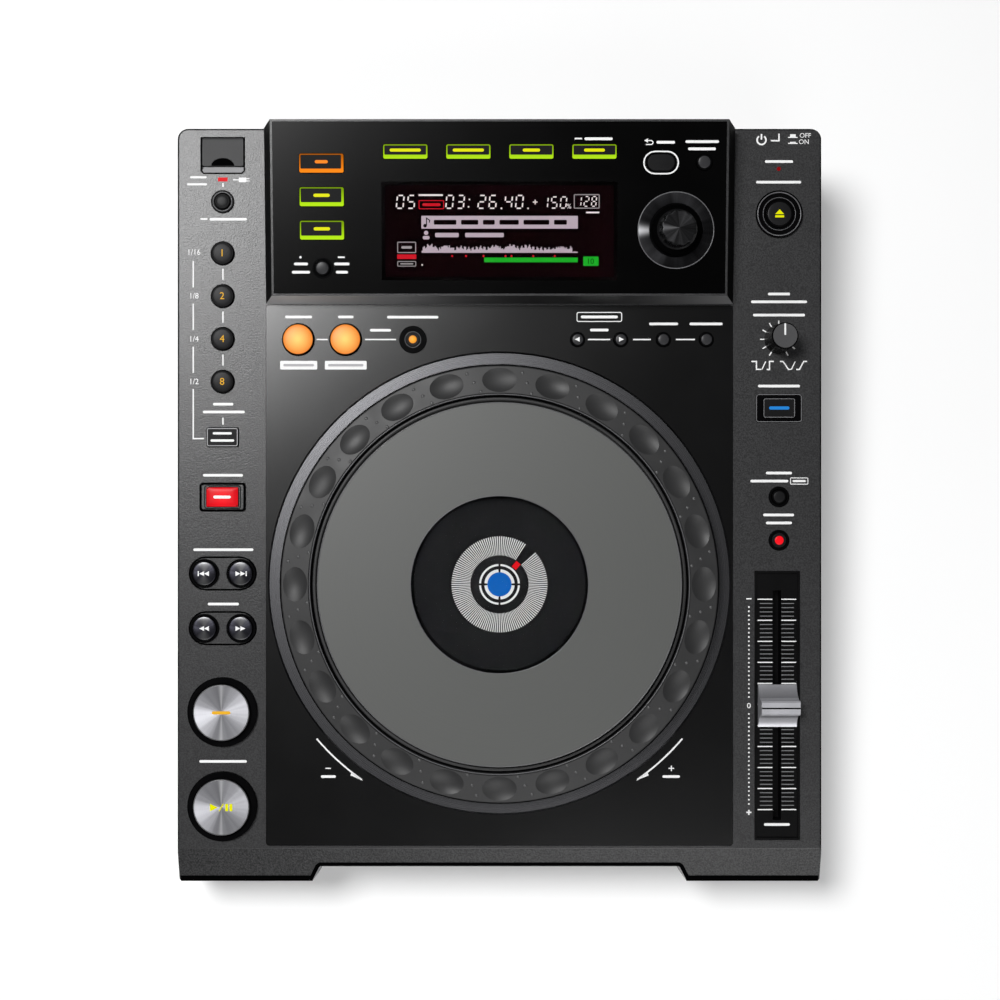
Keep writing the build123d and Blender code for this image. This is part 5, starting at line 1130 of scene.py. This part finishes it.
class DISCPLAYER_OT_display(Maker, bpy.types.Operator):
    """Lights the main display with figures, bars and a sound wave"""

    bl_idname = "disc_player.display"
    bl_label = "Main display"

    def make(self, colours, sizes):
        self.finish_glass()
        self.show("display_figures", self.white_figures(), "lit_white")
        self.show("tempo_box", box_line(40.6, 43.7, 12.0, 6.6, 0.4, 0.3), "lit_grey")
        self.show("title_row", bar(0.06, TITLE_V, 72.9, 5.9, 0.1) + self.sound_wave(), "lit_lilac")
        dark = self.note(-34.2, TITLE_V)
        u = -30.6
        for width in (10.5, 8.0, 5.5, 9.0, 12.0, 6.0):
            dark += bar(u + width / 2, TITLE_V, width, 2.2, 0.5)
            u += width + 2.2
        self.show("title_words", dark, "screen_dark", 0.1)
        names = spot(-34.2, 29.2, 1.0, 16) + bar(-34.2, 27.0, 3.2, 1.6, 0.7)
        names += bar(-24.5, 28.2, 11.0, 2.0, 0.5) + bar(-7.0, 28.2, 18.0, 2.0, 0.5)
        self.show("name_words", names, "lit_lilac")
        red = box_line(-31.7, 42.2, 11.8, 4.1, 0.35, 0.3) + bar(-31.7, 42.2, 8.4, 1.3)
        red += bar(-43.3, 18.2, 8.9, 2.1, 0.2)
        for u in (-22.1, -15.6, -7.45, 2.8, 5.6, 15.8, 25.8):
            red += spot(u, 18.5, 0.5, 10)
        self.show("display_reds", red, "lit_screen_red")
        grey = box_line(-43.3, 22.5, 8.8, 5.2, 0.4, 0.3) + bar(-43.3, 22.5, 5.0, 1.2)
        grey += box_line(-43.3, 14.9, 8.8, 2.5, 0.35, 0.3) + bar(-43.3, 14.9, 6.0, 0.6)
        self.show("display_greys", grey, "lit_grey")
        green = bar(14.7, 16.7, 43.7, 2.2, 0.1) + bar(42.7, 16.1, 7.1, 4.3, 0.3)
        self.show("range_bar", green, "lit_screen_green")
        self.show("range_figure", text_shapes("10", 42.7, 16.1, 2.5), "screen_dark", 0.1)

    def white_figures(self):
        """Track number, time, tempo and speed, with the marks between them."""
        white = []
        for digits, u in (("05", -46.2), ("03", -23.2), ("26", -8.2), ("40", 4.2)):
            white += lit_row(digits, u, 43.5, 5.1, 3.1, 5.9, 0.62)
        white += lit_row("150", 21.2, 43.2, 4.3, 2.6, 5.1, 0.55)
        white += lit_row("128", 37.0, 43.7, 3.5, 2.0, 4.5, 0.5)
        white += bar(-32.0, 46.6, 11.4, 0.8) + bar(43.4, 38.6, 6.3, 0.7)
        for u, v, radius in ((-14.0, 44.6, 0.4), (-14.4, 41.2, 0.4), (0.9, 40.5, 0.45), (13.3, 40.5, 0.4),
                             (-36.1, 14.4, 0.4)):
            white += spot(u, v, radius, 10)
        return white + plus(16.6, 43.4, 2.2, 0.45) + text_shapes("%", 32.4, 41.5, 2.2)

    def sound_wave(self):
        """Columns whose height wanders, low at the right end where the track fades out."""
        wave, columns, foot = [], 144, 20.0
        for i in range(columns):
            u = -36.3 + 72.8 * i / columns
            rise = 1.0 + 1.9 * abs(math.sin(0.21 * i) * math.sin(0.047 * i + 1.0))
            rise += 1.7 * abs(math.sin(2.3 * i) * math.sin(0.9 * i + 0.4))
            rise = min(4.6, rise) * (0.16 if i > 138 else 1.0)
            wave.append([(u, foot), (u + 0.5, foot), (u + 0.5, foot + rise), (u, foot + rise)])
        return wave

    def show(self, name, shapes, finish, lift=INK):
        print_marks(name, shapes, at(PANEL, 0, 0, DISPLAY_H), "case", finish, lift)

    def note(self, u, v):
        """A quaver."""
        stem = [(u + 0.2, v - 1.5), (u + 0.2, v + 1.9), (u + 1.7, v + 0.9), (u + 1.5, v - 0.2)]
        return spot(u - 0.5, v - 1.6, 0.85, 16) + stroke(stem, 0.45)

    def finish_glass(self):
        """The window, the two lamp lenses and the dark screens under them."""
        set_zones("clear_lenses", PANEL, "window_clear", [
            ("lit_red", lambda p, n: p.x < -100),
            ("lamp_red", lambda p, n: p.x > 100)])
        set_zones("display_modules", DECK, "screen_black", [("screen_dark", lambda p, n: p.y > 250)])


class DISCPLAYER_OT_round_display(Maker, bpy.types.Operator):
    """Lights the round display in the jog wheel"""

    bl_idname = "disc_player.round_display"
    bl_label = "Wheel display"

    def make(self, colours, sizes):
        stripes, count, low, high = [], 132, 13.6, 22.4
        half = math.degrees(sizes.stripe / MM / 2 / high)
        gap_start, gap_end = 41.9, 56.7
        for i in range(count):
            angle = 360 * i / count
            if not gap_start < angle < gap_end:
                inner = arc_points(0, 0, low, angle - half, angle + half, 1)
                outer = arc_points(0, 0, high, angle - half, angle + half, 1)
                stripes.append([inner[0], outer[0], outer[1], inner[1]])
        self.show("wheel_stripes", stripes, "lit_white")
        band = stroke(arc_points(0, 0, (low + high) / 2, gap_end, 360 + gap_start, 110), high - low)
        self.show("wheel_band", band, "lit_band", 0.03)
        rings = []
        for radius, thick in ((9.05, 0.9), (6.35, 1.4)):
            gap = math.degrees(0.47 / radius)
            for quarter in range(4):
                rings += ring(0, 0, radius, thick, 90 * quarter + gap, 90 * quarter + 90 - gap, 20)
        self.show("wheel_rings", rings, "lit_white")
        turn = math.radians(48.7)
        way, across = Vector((math.cos(turn), math.sin(turn))), Vector((-math.sin(turn), math.cos(turn)))
        corners = ((1.7, 1.3), (-1.7, 1.3), (-1.7, -1.3), (1.7, -1.3))
        marker = [tuple(way * (11.8 + along) + across * aside) for along, aside in corners]
        self.show("wheel_marker", [marker], "lit_red")
        self.show("wheel_centre", spot(0, 0, 5.65, 48), "lit_blue")

    def show(self, name, shapes, finish, lift=0.06):
        print_marks(name, shapes, at(WHEEL, 0, 0, ROUND_DISPLAY_H), "case", finish, lift)


class DISCPLAYER_OT_inside(Maker, bpy.types.Operator):
    """Finishes the boards, the disc drive and the rear sockets"""

    bl_idname = "disc_player.inside"
    bl_label = "Boards, drive and sockets"

    def make(self, colours, sizes):
        set_finish(["circuit_boards"], "board_green")
        set_finish(["drive_frame", "pickup_sled"], "zinc")
        set_finish(["drive_spindle"], "key_black")
        set_finish(["loading_roller"], "rubber")
        self.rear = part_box("sockets")[1].y / MM
        set_zones("sockets", Matrix.Identity(4), "chip_black", [("nickel", self.on_contact)])
        section = [(4.3, 0), (6.6, 0), (6.9, -0.1), (6.9, 0.12), (6.5, 0.4), (4.6, 0.4), (4.3, 0.2)]
        for side, x, finish in (("left", PHONO_X[0], "ink_white"), ("right", PHONO_X[1], "phono_red")):
            place = Matrix.Translation((x * MM, (self.rear - 8.95) * MM, PHONO_Z * MM))
            place = place @ Matrix.Rotation(math.radians(-90), 4, "X")
            turn_piece(side + "_phono_ring", section, finish, "case", place, 48)

    def on_contact(self, p, n):
        """Bare metal: the memory-stick socket, the mains pins, the jack's bush and the phono sleeves."""
        if p.x < -115 and p.y < 165 and p.z > 40:
            return True
        if p.y < self.rear - 12:
            return abs(p.x - INLET_X) < 8.1 and abs(p.z - INLET_Z) < 2.1
        return abs(p.x - JACK_X) < 4.2 or min(math.hypot(p.x - x, p.z - PHONO_Z) for x in PHONO_X) < 4.2


class DISCPLAYER_OT_stage(Maker, bpy.types.Operator):
    """Sets the floor, the lights and the camera"""

    bl_idname = "disc_player.stage"
    bl_label = "Stage"

    def make(self, colours, sizes):
        self.add_floor()
        self.set_world()
        self.add_light("key_light", at(DECK, *KEY_LAMP), 0.7, 35.0)
        self.add_light("fill_light", at(DECK, *FILL_LAMP), 1.2, 15.0).use_shadow = False
        self.add_camera()

    def add_floor(self):
        """A wide pale floor that stays white to the camera where the lamps don't reach."""
        reach = 30.0
        mesh = bpy.data.meshes.new("floor")
        mesh.from_pydata([(-reach, -reach, 0), (reach, -reach, 0), (reach, reach, 0), (-reach, reach, 0)],
                         [], [(0, 1, 2, 3)])
        floor = add_object("floor", mesh)
        paint = Finish("floor_white", (0.88, 0.88, 0.88), 0.8)
        paint.vary_colour(paint.noise(400.0), 0.01)
        ray = paint.node("LightPath").outputs
        direct = paint.math("MAXIMUM", ray["Is Camera Ray"], ray["Is Transmission Ray"])
        seen = paint.math("MAXIMUM", direct, ray["Is Glossy Ray"])
        far = paint.ramp(paint.polar(paint.place())[2], 0.5, 2.0, 0.0, 0.88)
        level = paint.weigh(seen, 0.12, direct, far)
        glow = paint.node("Emission", {"Color": (1, 1, 1, 1), "Strength": 1.2})
        mix = paint.node("MixShader", {0: level, 1: paint.shader.outputs[0], 2: glow.outputs[0]})
        paint.feed(paint.tree.nodes["Material Output"], {"Surface": mix.outputs[0]})
        mesh.materials.append(paint.material)

    def set_world(self):
        """A sky that is white to the camera and dim to everything else."""
        world = bpy.data.worlds.new("studio")
        world.use_nodes = True
        nodes, links = world.node_tree.nodes, world.node_tree.links
        background = nodes["Background"]
        background.inputs["Color"].default_value = (0.97, 0.98, 1.0, 1.0)
        path = nodes.new("ShaderNodeLightPath")
        level = nodes.new("ShaderNodeMapRange")
        level.inputs["To Min"].default_value = 0.07
        level.inputs["To Max"].default_value = 1.0
        links.new(path.outputs["Is Camera Ray"], level.inputs["Value"])
        links.new(level.outputs[0], background.inputs["Strength"])
        bpy.context.scene.world = world

    def add_light(self, name, place, size, power):
        """A round soft light that faces the middle of the deck."""
        light = bpy.data.lights.new(name, "AREA")
        light.shape = "DISK"
        light.size = size
        light.energy = power
        lamp = add_object(name, light)
        lamp.location = place.translation
        aim = at(DECK, 0, DECK_MIDDLE).translation - place.translation
        lamp.rotation_euler = aim.to_track_quat("-Z", "Y").to_euler()
        return light

    def add_camera(self):
        camera = bpy.data.cameras.new("camera")
        camera.sensor_width = 36.0
        camera.lens = LENS
        camera.clip_end = 20.0
        holder = add_object("camera", camera)
        holder.matrix_world = at(DECK, *EYE)
        bpy.context.scene.camera = holder
        bpy.context.scene.view_settings.view_transform = "Standard"


STEPS = (DISCPLAYER_OT_mix, DISCPLAYER_OT_case, DISCPLAYER_OT_panels, DISCPLAYER_OT_wheel,
         DISCPLAYER_OT_knobs, DISCPLAYER_OT_keys, DISCPLAYER_OT_key_marks, DISCPLAYER_OT_left_marks,
         DISCPLAYER_OT_right_marks, DISCPLAYER_OT_deck_marks, DISCPLAYER_OT_panel_marks,
         DISCPLAYER_OT_display, DISCPLAYER_OT_round_display, DISCPLAYER_OT_inside, DISCPLAYER_OT_stage)


class DISCPLAYER_PT_panel(bpy.types.Panel):
    """The sidebar panel"""

    bl_idname = "DISCPLAYER_PT_panel"
    bl_label = "Disc Player"
    bl_space_type = "VIEW_3D"
    bl_region_type = "UI"
    bl_category = "Disc Player"

    def draw(self, context):
        for group in (context.scene.disc_player_colours, context.scene.disc_player_sizes):
            column = self.layout.column()
            for name in group.__annotations__:
                column.prop(group, name)
        for step in STEPS:
            self.layout.operator(step.bl_idname)


CLASSES = (DISCPLAYER_PG_colours, DISCPLAYER_PG_sizes, *STEPS, DISCPLAYER_PT_panel)


def register():
    for made in CLASSES:
        bpy.utils.register_class(made)
    bpy.types.Scene.disc_player_colours = bpy.props.PointerProperty(type=DISCPLAYER_PG_colours)
    bpy.types.Scene.disc_player_sizes = bpy.props.PointerProperty(type=DISCPLAYER_PG_sizes)


def unregister():
    del bpy.types.Scene.disc_player_sizes
    del bpy.types.Scene.disc_player_colours
    for made in reversed(CLASSES):
        bpy.utils.unregister_class(made)


def main():
    """Dresses the player."""
    register()
    for step in STEPS:
        group, name = step.bl_idname.split(".")
        getattr(getattr(bpy.ops, group), name)()


if __name__ == "__main__":
    main()
